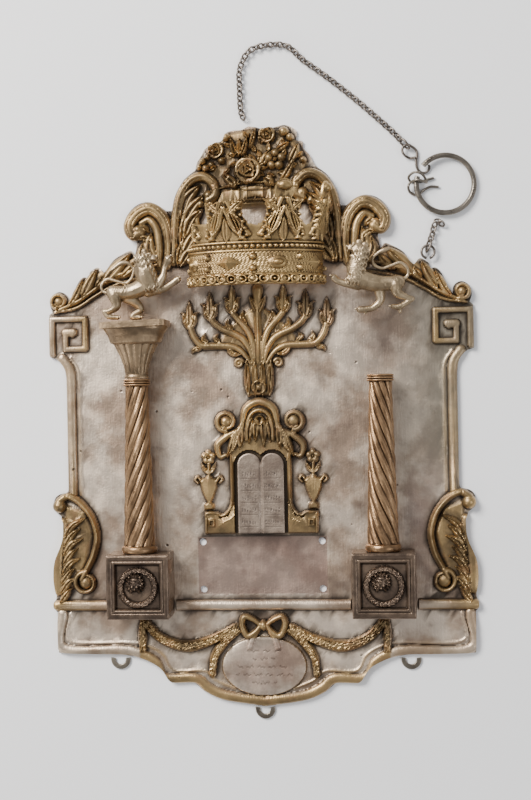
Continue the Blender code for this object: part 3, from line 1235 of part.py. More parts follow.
def eyelet_centre():
    """The middle of the eyelet, whose rim rests against the plate's edge line."""
    unit_x, unit_y = drawing_units()
    outline = plate_outline() * (unit_x, unit_y)
    x = EYELET_SHARE * PLATE_WIDTH
    reach = 0.5 * EYELET_OUTER + CLEARANCE
    near = outline[(np.abs(outline[:, 0] - x) < reach) & (outline[:, 1] > 0)]
    return x, (near[:, 1] + np.sqrt(reach**2 - (near[:, 0] - x) ** 2)).max()


def ring_centre():
    x, y = eyelet_centre()
    return x + RING_FROM_EYELET[0], y + RING_FROM_EYELET[1]


def hook_level():
    """Height of the middle of a hook's wire that lies flat."""
    return 0.5 * HOOK_WIRE + FLOOR_GAP


def lifted_level():
    """Height of the middle of a big link that stands on its edge, and of the wire that it goes round."""
    across = 0.5 * (BIG_LINK_WIDTH - BIG_LINK_WIRE) * math.sin(math.radians(BIG_LINK_TILT_DEG))
    return FLOOR_GAP + 0.5 * BIG_LINK_WIRE + across


def ring_level():
    """Height of the ring's wire where it lies over the hook."""
    return hook_level() + 0.5 * HOOK_WIRE + 0.5 * HANGING_WIRE + CLEARANCE


def build_ring():
    """The open ring that the shield hung by. Its open side lies up on the hook."""
    cx, cy = ring_centre()
    radius = 0.5 * (HANGING_RING - HANGING_WIRE)
    low = 0.5 * HANGING_WIRE + FLOOR_GAP
    points = []
    for a in np.radians(np.linspace(RING_ENDS_DEG[0], RING_ENDS_DEG[1], 24)):
        share = (0.5 - 0.5 * math.cos(a - math.radians(RING_RAISED_DEG))) ** 2
        level = ring_level() + (low - ring_level()) * share
        points.append((cx + radius * math.cos(a), cy + radius * math.sin(a), level))
    return wire_object("hanging_ring", points, HANGING_WIRE, dark_metal(), smooth=False)


def from_ring(points):
    """Points drawn in millimetres from the middle of a ring of DRAWN_RING, with their height in metres."""
    cx, cy = ring_centre()
    unit = 0.001 * HANGING_RING / DRAWN_RING
    return [(cx + unit * x, cy + unit * y, z) for x, y, z in points]


def build_hooks():
    flat = hook_level()
    lifted = lifted_level()
    over = ring_level() + 0.5 * HANGING_WIRE + 0.5 * HOOK_WIRE + 2 * CLEARANCE
    middle = 0.5 * (flat + over)
    s_hook = [(-18.2, 17.1, flat + HOOK_WIRE), (-21.5, 17.2, flat), (-24.6, 18.6, lifted),
              (-26.1, 21.4, lifted), (-25.3, 24.1, lifted), (-22.6, 25.2, lifted), (-19.9, 24.2, flat),
              (-17.4, 21.8, flat), (-17, 18.7, flat), (-17.6, 15, flat), (-17.1, 10.9, flat),
              (-14.8, 8.1, flat), (-11.7, 7.9, flat), (-9.6, 10.2, flat), (-9.8, 12.6, flat)]
    wire_object("s_hook", from_ring(s_hook), HOOK_WIRE, dark_metal(), 2)
    wire = [(-6.8, 4.3, flat), (-11.2, 3.3, flat), (-14.9, 2.2, flat), (-18.6, 2, flat), (-21.4, 2.7, flat),
            (-22.5, 4.8, middle), (-20.4, 6.9, 0.5 * (over + middle)), (-17.6, 7.3, over), (-14.2, 5.9, over),
            (-12, 3.3, middle), (-11.4, 1.2, middle), (-13.7, 1.6, over), (-17.7, 2.5, over),
            (-21.5, 1.3, middle), (-22.8, -1.1, middle), (-21.9, -3.9, flat), (-18.8, -5.8, flat),
            (-15.7, -5, flat), (-12.5, -2.6, flat), (-8.7, -1.1, flat), (-3.9, -1.4, flat)]
    wire_object("wire_hook", from_ring(wire), HOOK_WIRE, dark_metal(), 2)


def build_eyelet():
    """The eyelet at the edge of the right crest, and the links that are left in it."""
    x, y = eyelet_centre()
    radius = 0.5 * (EYELET_OUTER - HOOK_WIRE)
    level = lifted_level() + CLEARANCE
    angles = np.radians(np.linspace(-78, 258, 18))
    points = [(x + radius * math.cos(a), y + radius * math.sin(a), level) for a in angles]
    wire_object("crest_eyelet", points, HOOK_WIRE, dark_metal(), smooth=False)
    start = (x + 0.0014, y + radius + 0.5 * HOOK_WIRE + 0.5 * (LINK_LENGTH - LINK_WIRE))
    route = [start, (start[0] + 0.0016, start[1] + 0.0046), (start[0] + 0.0028, start[1] + 0.0094),
             (start[0] + 0.005, start[1] + 0.0122), (start[0] + 0.0084, start[1] + 0.0096)]
    fused_chain("chain_remnant", spline(route, 12), dark_metal(), big_first=level)


def main():
    for obj in list(bpy.data.objects):
        bpy.data.objects.remove(obj)
    for name in ("torah_shield", "cutters"):
        bpy.context.scene.collection.children.link(bpy.data.collections.new(name))
    bpy.data.collections["cutters"].hide_render = True
    plate = build_plate()
    build_tablets()
    build_crown(plate)
    for name, side in (("left", -1), ("right", 1)):
        build_pedestal("pedestal_" + name, side)
        build_column("column_" + name, side)
    build_capital()
    build_washers()
    fused_chain("chain", chain_route(), dark_metal(), big_last=lifted_level())
    build_ring()
    build_hooks()
    build_eyelet()
    build_lion("lion_left", lion_limbs(), lion_masses(), 1)
    build_lion("lion_right", worn_lion_limbs(), worn_lion_masses(), -1)


main()
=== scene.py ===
"""How the torah shield looks: fine carving, tarnish and worn gilding on the frame's pieces.

The drawing is the same as the solids', on finer grids, with veins, strands and scratches added.
"""

import json
import math

import bmesh
import bpy
import numpy as np
from mathutils import Matrix, Vector

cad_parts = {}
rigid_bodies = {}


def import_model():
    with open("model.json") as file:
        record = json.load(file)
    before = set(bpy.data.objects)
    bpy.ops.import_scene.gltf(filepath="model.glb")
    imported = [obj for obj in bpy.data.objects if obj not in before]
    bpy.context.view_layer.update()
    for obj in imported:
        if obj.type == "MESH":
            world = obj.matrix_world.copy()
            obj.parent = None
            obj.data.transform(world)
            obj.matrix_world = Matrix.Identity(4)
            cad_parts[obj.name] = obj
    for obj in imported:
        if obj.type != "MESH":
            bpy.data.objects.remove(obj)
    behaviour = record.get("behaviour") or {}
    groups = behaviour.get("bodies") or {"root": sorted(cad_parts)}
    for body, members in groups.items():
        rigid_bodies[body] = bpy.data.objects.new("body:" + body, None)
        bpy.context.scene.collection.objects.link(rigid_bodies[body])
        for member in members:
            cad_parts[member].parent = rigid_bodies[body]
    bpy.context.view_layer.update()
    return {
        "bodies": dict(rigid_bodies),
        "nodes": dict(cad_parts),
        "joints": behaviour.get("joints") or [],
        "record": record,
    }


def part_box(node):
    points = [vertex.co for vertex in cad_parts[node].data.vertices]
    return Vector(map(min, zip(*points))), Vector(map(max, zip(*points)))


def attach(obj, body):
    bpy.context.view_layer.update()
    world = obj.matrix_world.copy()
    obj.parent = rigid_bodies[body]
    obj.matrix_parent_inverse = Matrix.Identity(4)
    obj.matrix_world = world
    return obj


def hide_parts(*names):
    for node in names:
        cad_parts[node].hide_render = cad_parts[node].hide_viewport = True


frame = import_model()

# The embossed plate.
PLATE_WIDTH = 0.2688
PLATE_HEIGHT = 0.3654
SHEET = 0.0016
RELIEF = 0.001
SEAT_WIDTH = 0.082
SEAT_HEIGHT = 0.0365
SEAT_DEPTH = 0.0002
SEAT_TOP_Y = -0.0756
RIVET_HOLE = 0.0044
RIVET_INSET = 0.0033
CLEARANCE = 0.0003

# The tablets in the ark's front.
TABLETS_WIDTH = 0.029
TABLETS_HEIGHT = 0.0506
TABLETS_BOTTOM_Y = -0.0739
TABLETS_THICKNESS = 0.0026
TABLETS_EASE = 0.0018

# The moulded rail that runs across behind the pedestals.
RAIL_Y = -0.1186
RAIL_THICKNESS = 0.0069

# The pedestals, columns and capital.
COLUMN_SPACING = 0.152
PEDESTAL_WIDTH = 0.0396
PEDESTAL_HEIGHT = 0.040
PEDESTAL_DEPTH = 0.0235
PEDESTAL_BOTTOM_Y = -0.1243
PEDESTAL_PANEL = 0.029
WREATH_RADIUS = 0.0108
COLUMN_LENGTH = 0.1088
COLUMN_FOOT_RADIUS = 0.0098
COLUMN_TOP_RADIUS = 0.0068
COLUMN_RING_RADIUS = 0.0112
COLUMN_RING_HEIGHT = 0.0044
STRAND_RELIEF = 0.0013
COLUMN_TURNS = 0.9
CAPITAL_BELL = 0.0212
CAPITAL_BOWL = 0.0112
CAPITAL_RADIUS = 0.0205
ABACUS_WIDTH = 0.0405
ABACUS_THICKNESS = 0.0043
ABACUS_DEPTH = 0.0262
ABACUS_TILT_DEG = 1.9

# The crown.
CROWN_HALF_WIDTH = 0.0423
CROWN_BULGE = 0.0185
CROWN_BOTTOM_Y = 0.0806
CROWN_BAND = 0.0272
CROWN_WALL = 0.0013
CROWN_RELIEF = 0.001
FLEURON_HEIGHT = 0.0372
CROWN_FLARE = 0.005
CROWN_HALF_TURN_DEG = 84
STONE_STEP_DEG = 21

# The lions, each drawn in units of its own length.
LION_LENGTH = 0.0468
LION_THICKNESS = 0.0125
LION_STAND_OFF = 0.006
LION_TO_CROWN = 0.0037

# The washers, the eyelet, the chain and the ring.
WASHER_OUTER = 0.0126
WASHER_BORE = 0.0064
WASHER_THICKNESS = 0.0013
WASHER_OVERHANG = 0.0046
LINK_LENGTH = 0.0052
LINK_WIDTH = 0.0043
LINK_WIRE = 0.0012
LINK_BITE = 0.00025
HANGING_RING = 0.039
HANGING_WIRE = 0.0034
RING_FROM_EYELET = (0.0114, 0.0418)
RING_ENDS_DEG = (163, 499)
RING_RAISED_DEG = 170
HOOK_WIRE = 0.0016
BIG_LINK_LENGTH = 0.0094
BIG_LINK_WIDTH = 0.0064
BIG_LINK_WIRE = 0.0014
BIG_LINK_TILT_DEG = 64
EYELET_OUTER = 0.0096
EYELET_SHARE = 0.398
FLOOR_GAP = 0.0001

DRAWN_WIDTH = 268.8
DRAWN_HEIGHT = 365.4
CROWN_DRAWN_BAND = 27.2
CROWN_DRAWN_FLEURON = 37.2
CROWN_DRAWN_HALF = 51.0
DRAWN_RING = 0.039

PLATE_GRID = 0.6
PLATE_FACES = 190000
CROWN_GRID = 0.34
CROWN_FACES = 90000
LION_VOXEL = 0.0075
LION_FACES = 60000
PEDESTAL_GRID = 0.3
PEDESTAL_FACES = 40000

# The picture: its middle on the ground, and how the camera stands.
VIEW_MIDDLE = (0.0036, 0.0101)
VIEW_DISTANCE = 0.820
VIEW_LEAN_DEG = 5.5
VIEW_ROLL_DEG = 1.1
LENS_MM = 58.5


def spline(points, per=8):
    """A smooth curve through the points, with so many steps between two of them."""
    p = np.array(points, float)
    p = np.vstack([2 * p[0] - p[1], p, 2 * p[-1] - p[-2]])
    t = np.linspace(0, 1, per, endpoint=False)[:, None]
    out = []
    for a, b, c, d in zip(p, p[1:], p[2:], p[3:]):
        square, cube = 2 * a - 5 * b + 4 * c - d, 3 * b - a - 3 * c + d
        out.append(0.5 * (2 * b + (c - a) * t + square * t**2 + cube * t**3))
    return np.vstack(out + [p[-2][None]])


def nearest(x, y, line):
    """How far each point is from a line, and how far along the line, from 0 to 1, its nearest point is."""
    best = np.full(x.shape, np.inf)
    along = np.zeros(x.shape)
    steps = np.hypot(*np.diff(line, axis=0).T)
    starts = np.concatenate([[0], np.cumsum(steps)]) / steps.sum()
    for k, (a, b) in enumerate(zip(line, line[1:])):
        d = b - a
        t = np.clip(((x - a[0]) * d[0] + (y - a[1]) * d[1]) / max(d @ d, 1e-12), 0, 1)
        far = (x - a[0] - t * d[0]) ** 2 + (y - a[1] - t * d[1]) ** 2
        closer = far < best
        best[closer] = far[closer]
        along[closer] = (starts[k] + t * (starts[k + 1] - starts[k]))[closer]
    return np.sqrt(best), along


def inside_distance(x, y, outline):
    """Distance to a closed outline, positive inside it."""
    loop = np.vstack([outline, outline[:1]])
    far, _ = nearest(x, y, loop)
    inside = np.zeros(x.shape, bool)
    for (ax, ay), (bx, by) in zip(loop, loop[1:]):
        if ay == by:
            continue
        crosses = ((ay > y) != (by > y)) & (x < (bx - ax) * (y - ay) / (by - ay) + ax)
        inside ^= crosses
    return np.where(inside, far, -far)


class Relief:
    """Heights over a flat ground, in drawing units, on a grid of points."""

    def __init__(self, low, high, step):
        self.xs = np.arange(low[0], high[0] + step, step)
        self.ys = np.arange(low[1], high[1] + step, step)
        self.x, self.y = np.meshgrid(self.xs, self.ys)
        self.h = np.zeros(self.x.shape)

    def window(self, x0, y0, x1, y1):
        i = np.searchsorted(self.xs, [x0, x1])
        j = np.searchsorted(self.ys, [y0, y1])
        return slice(j[0], j[1]), slice(i[0], i[1])

    def raise_to(self, win, height):
        np.maximum(self.h[win], height, out=self.h[win])

    def stroke(self, points, widths, heights, flat=0.5):
        """A rounded ridge along a curve. Half-widths and heights are spread evenly along it."""
        line = spline(points)
        most = max(widths)
        low, high = line.min(axis=0) - most, line.max(axis=0) + most
        win = self.window(*low, *high)
        far, along = nearest(self.x[win], self.y[win], line)
        half = np.interp(along, np.linspace(0, 1, len(widths)), widths)
        tall = np.interp(along, np.linspace(0, 1, len(heights)), heights)
        self.raise_to(win, tall * np.clip(1 - (far / half) ** 2, 0, 1) ** flat)

    def leaf(self, points, width, height, lobes=0):
        """A leaf along a curve, widest past its middle, with a groove for its midrib."""
        line = spline(points)
        win = self.window(*(line.min(axis=0) - width), *(line.max(axis=0) + width))
        far, along = nearest(self.x[win], self.y[win], line)
        half = width * np.sin(math.pi * np.clip(along, 0.02, 0.98) ** 0.8) ** 0.7
        if lobes:
            half = half * (0.8 + 0.2 * np.abs(np.sin(math.pi * lobes * along)))
        share = far / half
        body = np.clip(1 - share**2, 0, 1) ** 0.5 * (1 - 0.35 * np.exp(-((share / 0.2) ** 2)))
        self.raise_to(win, height * body)

    def ball(self, cx, cy, rx, height, ry=None):
        ry = ry or rx
        win = self.window(cx - rx, cy - ry, cx + rx, cy + ry)
        share = ((self.x[win] - cx) / rx) ** 2 + ((self.y[win] - cy) / ry) ** 2
        self.raise_to(win, height * np.clip(1 - share, 0, 1) ** 0.5)

    def ring(self, cx, cy, radius, width, height):
        reach = radius + width
        win = self.window(cx - reach, cy - reach, cx + reach, cy + reach)
        far = np.abs(np.hypot(self.x[win] - cx, self.y[win] - cy) - radius)
        self.raise_to(win, height * np.clip(1 - (far / width) ** 2, 0, 1) ** 0.5)

    def rose(self, cx, cy, radius, height):
        """An open rose: three rounds of petals, each with its raised rim."""
        win = self.window(cx - radius, cy - radius, cx + radius, cy + radius)
        dx, dy = self.x[win] - cx, self.y[win] - cy
        share = np.hypot(dx, dy) / radius
        layer = 3.2 * share
        rim = 0.45 * np.abs(np.sin(1.5 * np.arctan2(dy, dx) + 1.3 * np.floor(layer)))
        body = np.clip(1 - share**4, 0, 1) ** 0.5 * (0.66 + 0.34 * ((layer + rim) % 1))
        self.raise_to(win, height * body)

    def flower(self, cx, cy, radius, petals, height):
        for k in range(petals):
            turn = 2 * math.pi * (k + 0.25) / petals
            reach = 0.58 * radius
            self.ball(cx + reach * math.cos(turn), cy + reach * math.sin(turn), 0.47 * radius, 0.84 * height)
        self.ball(cx, cy, 0.24 * radius, height)

    def volute(self, cx, cy, radius, start_deg, hand, width, height, eye=0.36):
        """A scroll that winds in round a ball. hand is 1 to wind against the clock."""
        turns = 1.1
        a = math.radians(start_deg) + hand * np.linspace(0, 2 * math.pi * turns, 14)
        r = np.linspace(radius - width, eye * radius, 14)
        points = np.column_stack([cx + r * np.cos(a), cy + r * np.sin(a)])
        self.stroke(points, [width, 0.6 * width], [height, 0.8 * height])
        self.ball(cx, cy, eye * radius, height)

    def plateau(self, outline, height, edge):
        """A flat raised field with a sloping edge."""
        outline = np.array(outline, float)
        win = self.window(*outline.min(axis=0), *outline.max(axis=0))
        depth = inside_distance(self.x[win], self.y[win], outline)
        self.raise_to(win, height * np.clip(depth / edge, 0, 1))

    def frame(self, cx, cy, half_x, half_y, width, height):
        """A square frame of one rounded bar."""
        reach_x, reach_y = half_x + width, half_y + width
        win = self.window(cx - reach_x, cy - reach_y, cx + reach_x, cy + reach_y)
        dx, dy = np.abs(self.x[win] - cx) - half_x, np.abs(self.y[win] - cy) - half_y
        far = np.abs(np.maximum(dx, dy))
        self.raise_to(win, height * np.clip(1 - (far / width) ** 2, 0, 1) ** 0.5)


def mirrored(points):
    return [(-x, y) for x, y in points]


def plate_outline():
    """The plate's edge in drawing units, from the foot round by the right to the crest and down the left."""
    side = [
        spline([(0, -182.7), (24, -179), (37, -174), (44.7, -167.9)]),
        spline([(58.7, -167.9), (61.2, -165.7), (67, -157.8), (78.4, -152.3), (91, -150)]),
        np.array([(132, -149), (132.4, -122.8)]),
        spline([(133.4, -122.2), (134.4, -120), (134.4, -117), (133, -114.8)]),
        spline([(132.8, -112), (134.2, -102), (133.2, -91), (129.1, -81), (127.3, -74.3), (127, -66)]),
        spline([(129, -61.5), (133.2, -57.5), (133, -51.5), (130.2, -48.1), (124.2, -46.6)]),
        spline([(123.6, -44), (123.6, -20), (123.6, 5), (123.8, 25), (125, 33), (129, 38), (134, 40)]),
        np.array([(134.2, 40.2), (134.2, 67)]),
        spline([(132, 68.6), (133.4, 73.6), (132, 79), (127.2, 81.6), (122.6, 79.2), (121.6, 74)]),
        spline([(118.6, 78), (117, 83), (113.6, 89), (110.6, 90.6), (108.6, 89.4)]),
        spline([(107, 94), (102, 96.6), (98.2, 92.6)]),
        spline([(95.6, 95), (91.6, 101), (85, 105), (80.4, 106.6), (77.8, 103)]),
        spline([(76, 112.6), (80, 113), (83.6, 117), (84.6, 123), (82.4, 129), (77.6, 134.4), (71, 137),
                (63.6, 135.4), (57, 131)]),
        spline([(53.3, 131), (51.4, 140), (45.8, 150), (38, 156.4)]),
    ]
    right = np.vstack(side + [spline([(36, 160), (34, 164), (30.4, 168), (30.2, 172), (26.4, 173),
                                      (26.2, 179), (19.4, 182.7), (13, 181.6)])])
    left = np.vstack(side + [spline([(37, 161), (34, 165.4), (31.4, 169.6), (26, 171.4), (19.4, 175),
                                     (18, 179), (14, 180.4)])])
    top = [(6, 180), (1, 182), (-4, 182.7), (-8, 180.6)]
    return np.vstack([right, top, mirrored(left[::-1])])


def carve_border(r):
    """The bead round the waist and the foot, and the key blocks at the corners."""
    waist = [(120.6, -48), (120.6, -20), (120.6, 10), (121, 30), (126, 39)]
    foot = [(129, -124), (129, -146), (91, -147), (79, -149.4), (69.4, -155), (63, -164.6), (44, -165),
            (36, -171), (24, -176), (0, -179.4)]
    for flip in (1, -1):
        for path in (waist, foot):
            line = [(flip * x, y) for x, y in path]
            r.stroke(line, [3.2, 3.2], [2.2, 2.2])
            r.stroke([(flip * (x - 5.2), y + (4.6 if y < -140 else 0)) for x, y in path if x > 1],
                     [0.9, 0.9], [0.7, 0.7])
        cx, cy = flip * 121, 54.6
        key = [(cx + flip * u, cy + v) for u, v in ((11.3, -13), (11.3, 9.4), (-10.3, 9.4), (-10.3, -9.7),
                                                    (2.6, -9.7), (2.6, 0), (-2, 0), (-2, -0.6))]
        for start, end in zip(key, key[1:]):
            r.stroke([start, end], [1.9, 1.9], [2.6, 2.6], 0.22)
        r.stroke([(cx + 2.6, cy + 0.8), (cx - 2.6, cy + 0.8)], [2.6, 2.6], [2.6, 2.6], 0.22)


def carve_side_scroll(r, flip):
    """The tall scroll at the side, with its sprig of leaves."""
    spine = [(129.6, -52), (124, -49), (116, -53), (108.8, -62), (105.4, -74), (107.6, -86), (112, -95),
             (115.6, -102)]
    r.stroke([(flip * x, y) for x, y in spine], [2.6, 2.3, 2.3, 2], [4.4, 5.4, 5.4, 4.6])
    edge = [(127.6, -66), (127.6, -74), (130.6, -84), (131.6, -96), (131, -108)]
    r.stroke([(flip * x, y) for x, y in edge], [3.6, 4, 4.4], [3, 3, 2.6])
    field = [(128, -52), (112, -58), (107, -74), (112, -92), (118, -108), (131, -112), (132, -96),
             (127, -78), (127, -64)]
    r.plateau([(flip * x, y) for x, y in field], 1.6, 3)
    r.ball(flip * 129.4, -55.2, 4.6, 5.6)
    r.volute(flip * 113.2, -104, 9, 90, -flip, 1.9, 4.4, 0.5)
    for k in range(8):
        share = k / 7
        y = -66 - 42 * share
        base = (flip * (126 + 4 * share), y - 9)
        tip = (flip * (112.5 + 7.5 * share + 2.4 * (k % 2)), y + 3 - 3 * share)
        middle = (flip * (121 + 3.4 * share), y - 1.6)
        r.leaf([base, middle, tip], 2.7, 3.9)


def carve_corner_crest(r, flip):
    """The volute over a key block and the leaves that climb from it behind the lion."""

    def at(points):
        return [(flip * x, y) for x, y in points]

    r.plateau(at([(131, 69), (119, 69), (100, 82), (78, 92), (70, 96), (76, 104), (90, 100), (102, 94),
                  (116, 82), (122, 74)]), 1.6, 2.4)
    r.stroke(at([(130, 68.6), (116, 71), (104, 78), (92, 84.4), (76, 88.6), (62, 90)]), [1.1, 1.1],
             [2.8, 2.8])
    r.stroke(at([(127, 70), (114, 75.6), (102, 83.6), (90, 90.4), (76, 94.6), (62, 97)]), [1.3, 1.3],
             [3.4, 3.4])
    r.volute(flip * 127.4, 75.4, 6.4, 250, flip, 1.7, 4.2, 0.5)
    for base, middle, tip, width in (
        ((121, 72), (116, 79), (111.4, 88.8), 3),
        ((112, 78), (107.6, 86), (102.6, 95), 4),
        ((103, 84), (99.6, 88), (98, 91.6), 2.6),
        ((98, 86), (90, 95), (80.4, 104.4), 5),
        ((86, 90), (80, 95), (76, 100.6), 3.4),
    ):
        r.leaf(at([base, middle, tip]), width, 4.2)


def carve_ear_scroll(r, flip):
    """The scroll that curls outwards beside the crest."""

    def at(points):
        return [(flip * x, y) for x, y in points]

    r.plateau(at([(57, 128), (60, 133), (70, 135), (80, 129), (82, 120), (76, 115), (72, 104), (72, 92),
                  (58, 92), (55, 110)]), 1.8, 3)
    r.stroke(at([(57, 96), (55.6, 110), (58, 124), (66, 132.4), (75, 130), (80.4, 122.6), (78.8, 116),
                 (73.6, 117.4)]),
             [2.6, 3.4, 4.4, 4.6, 4.4, 3.6], [3.8, 4.6, 5.6, 5.8, 5.6, 5])
    r.stroke(at([(62, 96), (61.6, 108), (63, 119), (67.6, 125.4), (73, 123.6)]), [1.8, 2.8, 3.2, 3, 2.2],
             [3.2, 4.2, 4.8, 4.8, 4])
    for base, middle, tip, width in (
        ((63, 98), (68, 107), (66.6, 117), 4.6),
        ((66, 94), (73, 102), (71.6, 112), 4),
        ((68, 118), (72, 121), (75.6, 119), 2.6),
        ((66, 110), (71, 114), (74.6, 113), 2.8),
    ):
        r.leaf(at([base, middle, tip]), width, 4.4)
    r.ball(flip * 75, 119.4, 3.4, 5.4)


def carve_inner_scroll(r, flip):
    """The great leafy scroll on each side of the basket."""

    def at(points):
        return [(flip * x, y) for x, y in points]

    r.plateau(at([(52, 131), (50, 140), (44, 149), (36, 154), (28, 150), (28, 138), (36, 128), (36, 112),
                  (42, 98), (54, 100)]), 2, 3)
    r.stroke(at([(53, 98), (52, 112), (50.4, 128), (47.4, 140), (41, 149), (33, 151.6), (26.4, 147),
                 (25.4, 139.6), (30, 136.4)]),
             [2.4, 3, 3.4, 3.6, 3.4, 3.6, 3.2], [3.6, 4.6, 6, 6.8, 7, 6.8, 6])
    for base, middle, tip, width in (
        ((47, 126), (43, 138), (35, 146), 5.2),
        ((46, 122), (40, 132), (32, 140), 4.8),
        ((45, 114), (41, 124), (33.6, 131), 4.6),
        ((47.6, 108), (46, 120), (44.6, 131), 3.2),
        ((46, 103), (41, 112), (35.6, 120), 4.6),
        ((48, 96), (43.6, 103), (38, 109), 4),
        ((50, 96), (48.6, 104), (46, 112), 3),
    ):
        r.leaf(at([base, middle, tip]), width, 5.6)
    r.ball(flip * 29.6, 139.6, 3.8, 6.4)
    r.ball(flip * 34.6, 134.4, 2.8, 5.4)


def carve_basket(r):
    """The basket of flowers at the top."""
    r.plateau([(-30, 131), (-33, 152), (-36, 160), (-28, 170), (-17, 179), (-4, 181), (18, 181), (25, 175),
               (29, 169), (34, 158), (31, 148), (29, 131)], 2.4, 2.4)
    r.plateau([(-27, 131), (-22, 142.6), (0, 146), (22, 142.6), (27, 131), (0, 137)], 3.4, 1.4)
    for k in range(9):
        x = -20 + 5 * k
        r.stroke([(x, 135 - 0.008 * x * x), (x, 144.6 - 0.008 * x * x)], [0.5, 0.5], [4, 4])
    r.stroke([(-26, 132.4), (-12, 135.4), (0, 136), (12, 135.4), (26, 132.4)], [1.1, 1.1], [4.6, 4.6])
    r.stroke([(-25, 143), (-12, 146), (0, 147), (12, 146), (25, 143)], [0.9, 0.9], [4.4, 4.4])
    for points, width in (
        ([(-17, 150), (-14, 147), (-11, 144)], 3.6),
        ([(-20, 152), (-15, 148), (-12, 143)], 3.2),
        ([(6, 149), (9, 147), (12, 144)], 4),
        ([(16, 146), (20, 152), (25, 160)], 3),
        ([(22, 158), (25, 164), (27.6, 170)], 3.4),
        ([(5, 158), (7, 162), (9, 166)], 3.4),
        ([(14, 166), (18, 169), (22, 171)], 3),
        ([(-3, 168), (-1, 174), (1, 181)], 2.2),
    ):
        r.leaf(points, width, 6)
    for k in range(44):
        turn = 2.4 * k
        reach = 3.2 + 0.66 * k
        cx, cy = 0.95 * reach * math.cos(turn), 158 + 0.66 * reach * math.sin(turn)
        if cy > 148:
            lean = (2.8 * math.cos(turn + 0.5), 2.8 * math.sin(turn + 0.5))
            r.leaf([(cx - lean[0], cy - lean[1]), (cx, cy), (cx + lean[0], cy + lean[1])], 2.1, 5)
    r.rose(-4.4, 154.4, 9.4, 9)
    r.rose(-24.6, 167.6, 6, 7.6)
    r.rose(8, 176.4, 6, 7.6)
    r.flower(13, 160.6, 7, 5, 8)
    for dx in (-3.4, 0, 3.4):
        r.leaf([(-9.6 + 0.4 * dx, 163.4), (-9.6 + dx, 168), (-9.6 + 1.5 * dx, 174.6)], 2.3, 8)
    berries = [(-17.6, 175.6, 3), (-20.8, 161, 2.6), (18.6, 178, 3.6), (22.4, 174.4, 2.8),
               (-33, 161, 2.6), (-31, 156.6, 2.8), (-27.4, 158.6, 2.4), (-35, 157.4, 2.2),
               (30.4, 160, 2.4), (-29.6, 163.4, 2.2)]
    for cx, cy, radius in berries:
        r.ball(cx, cy, radius, 6.6)


def carve_tree(r):
    """The seven-branched tree with cups under the crown."""
    for flip in (1, -1):
        r.plateau([(flip * x, y) for x, y in ((0, 36), (8, 38), (12, 43), (26, 46), (22, 54), (13, 62),
                                              (6, 68), (0, 70))], 1.1, 2)
        for path, cup in (
            ([(5, 33), (8, 38), (12, 42), (18, 44.4), (28, 44.8), (36, 45.4), (41, 51), (43, 57)], (43.4, 56)),
            ([(3.6, 34), (5.6, 42), (9, 48), (14, 51.6), (21.3, 54.6), (27, 58.6), (29.6, 62)], (30.2, 61)),
            ([(2.4, 34), (3.6, 46), (6.4, 54), (12, 60.6), (15.6, 65)], (16.2, 65)),
        ):
            r.stroke([(flip * x, y) for x, y in path], [1.2, 2.3, 2.4, 2.2], [2.8, 3.4, 3.6, 3.4])
            cx, cy = flip * cup[0], cup[1]
            for lean in (-1, 1):
                r.leaf([(cx, cy - 1), (cx + lean * 2.6, cy + 4), (cx + lean * 3.6, cy + 9),
                        (cx + lean * 6, cy + 10.4)], 2, 3.4)
            r.leaf([(cx, cy), (cx, cy + 8), (cx, cy + 18)], 2.8, 3)
        for base, middle, tip in (
            ((36, 43.6), (40.6, 42.6), (42, 40)),
            ((24, 47), (27, 49.6), (25, 52.4)),
            ((31, 46.6), (34.6, 49), (34, 53)),
            ((16, 55), (19.4, 58), (18.6, 62)),
            ((7, 58), (10, 62.6), (9, 67)),
            ((20, 43), (16, 39.6), (11, 39)),
        ):
            r.leaf([(flip * x, y) for x, y in (base, middle, tip)], 2, 3)
        r.volute(flip * 12.4, 33.6, 4, 160 if flip > 0 else 20, -flip, 1.4, 3, 0.4)
    r.stroke([(0, 34), (0, 70)], [2.8, 2.6], [2.8, 2.8])
    r.stroke([(0, 34), (0, 68)], [0.9, 1.1], [3.8, 3.8])
    for lean in (-1, 1):
        r.leaf([(0, 64), (lean * 2.4, 70), (lean * 5.4, 76)], 2.2, 3.6)
    r.stroke([(0, 68), (0, 80)], [2.6, 3.6], [3.2, 3.4])
    r.plateau([(-9.4, 34), (9.4, 34), (8.6, 24), (7.6, 12.4), (-7.6, 12.4), (-8.6, 24)], 2, 1.6)
    for lean in (-1.5, -0.5, 0.5, 1.5):
        r.leaf([(4.4 * lean, 13), (4.9 * lean, 24), (5.2 * lean, 36)], 2.5, 3.8)
    r.ring(0, 18.2, 4, 1.1, 4.2)
    r.ball(0, 18.2, 2.4, 4.6)


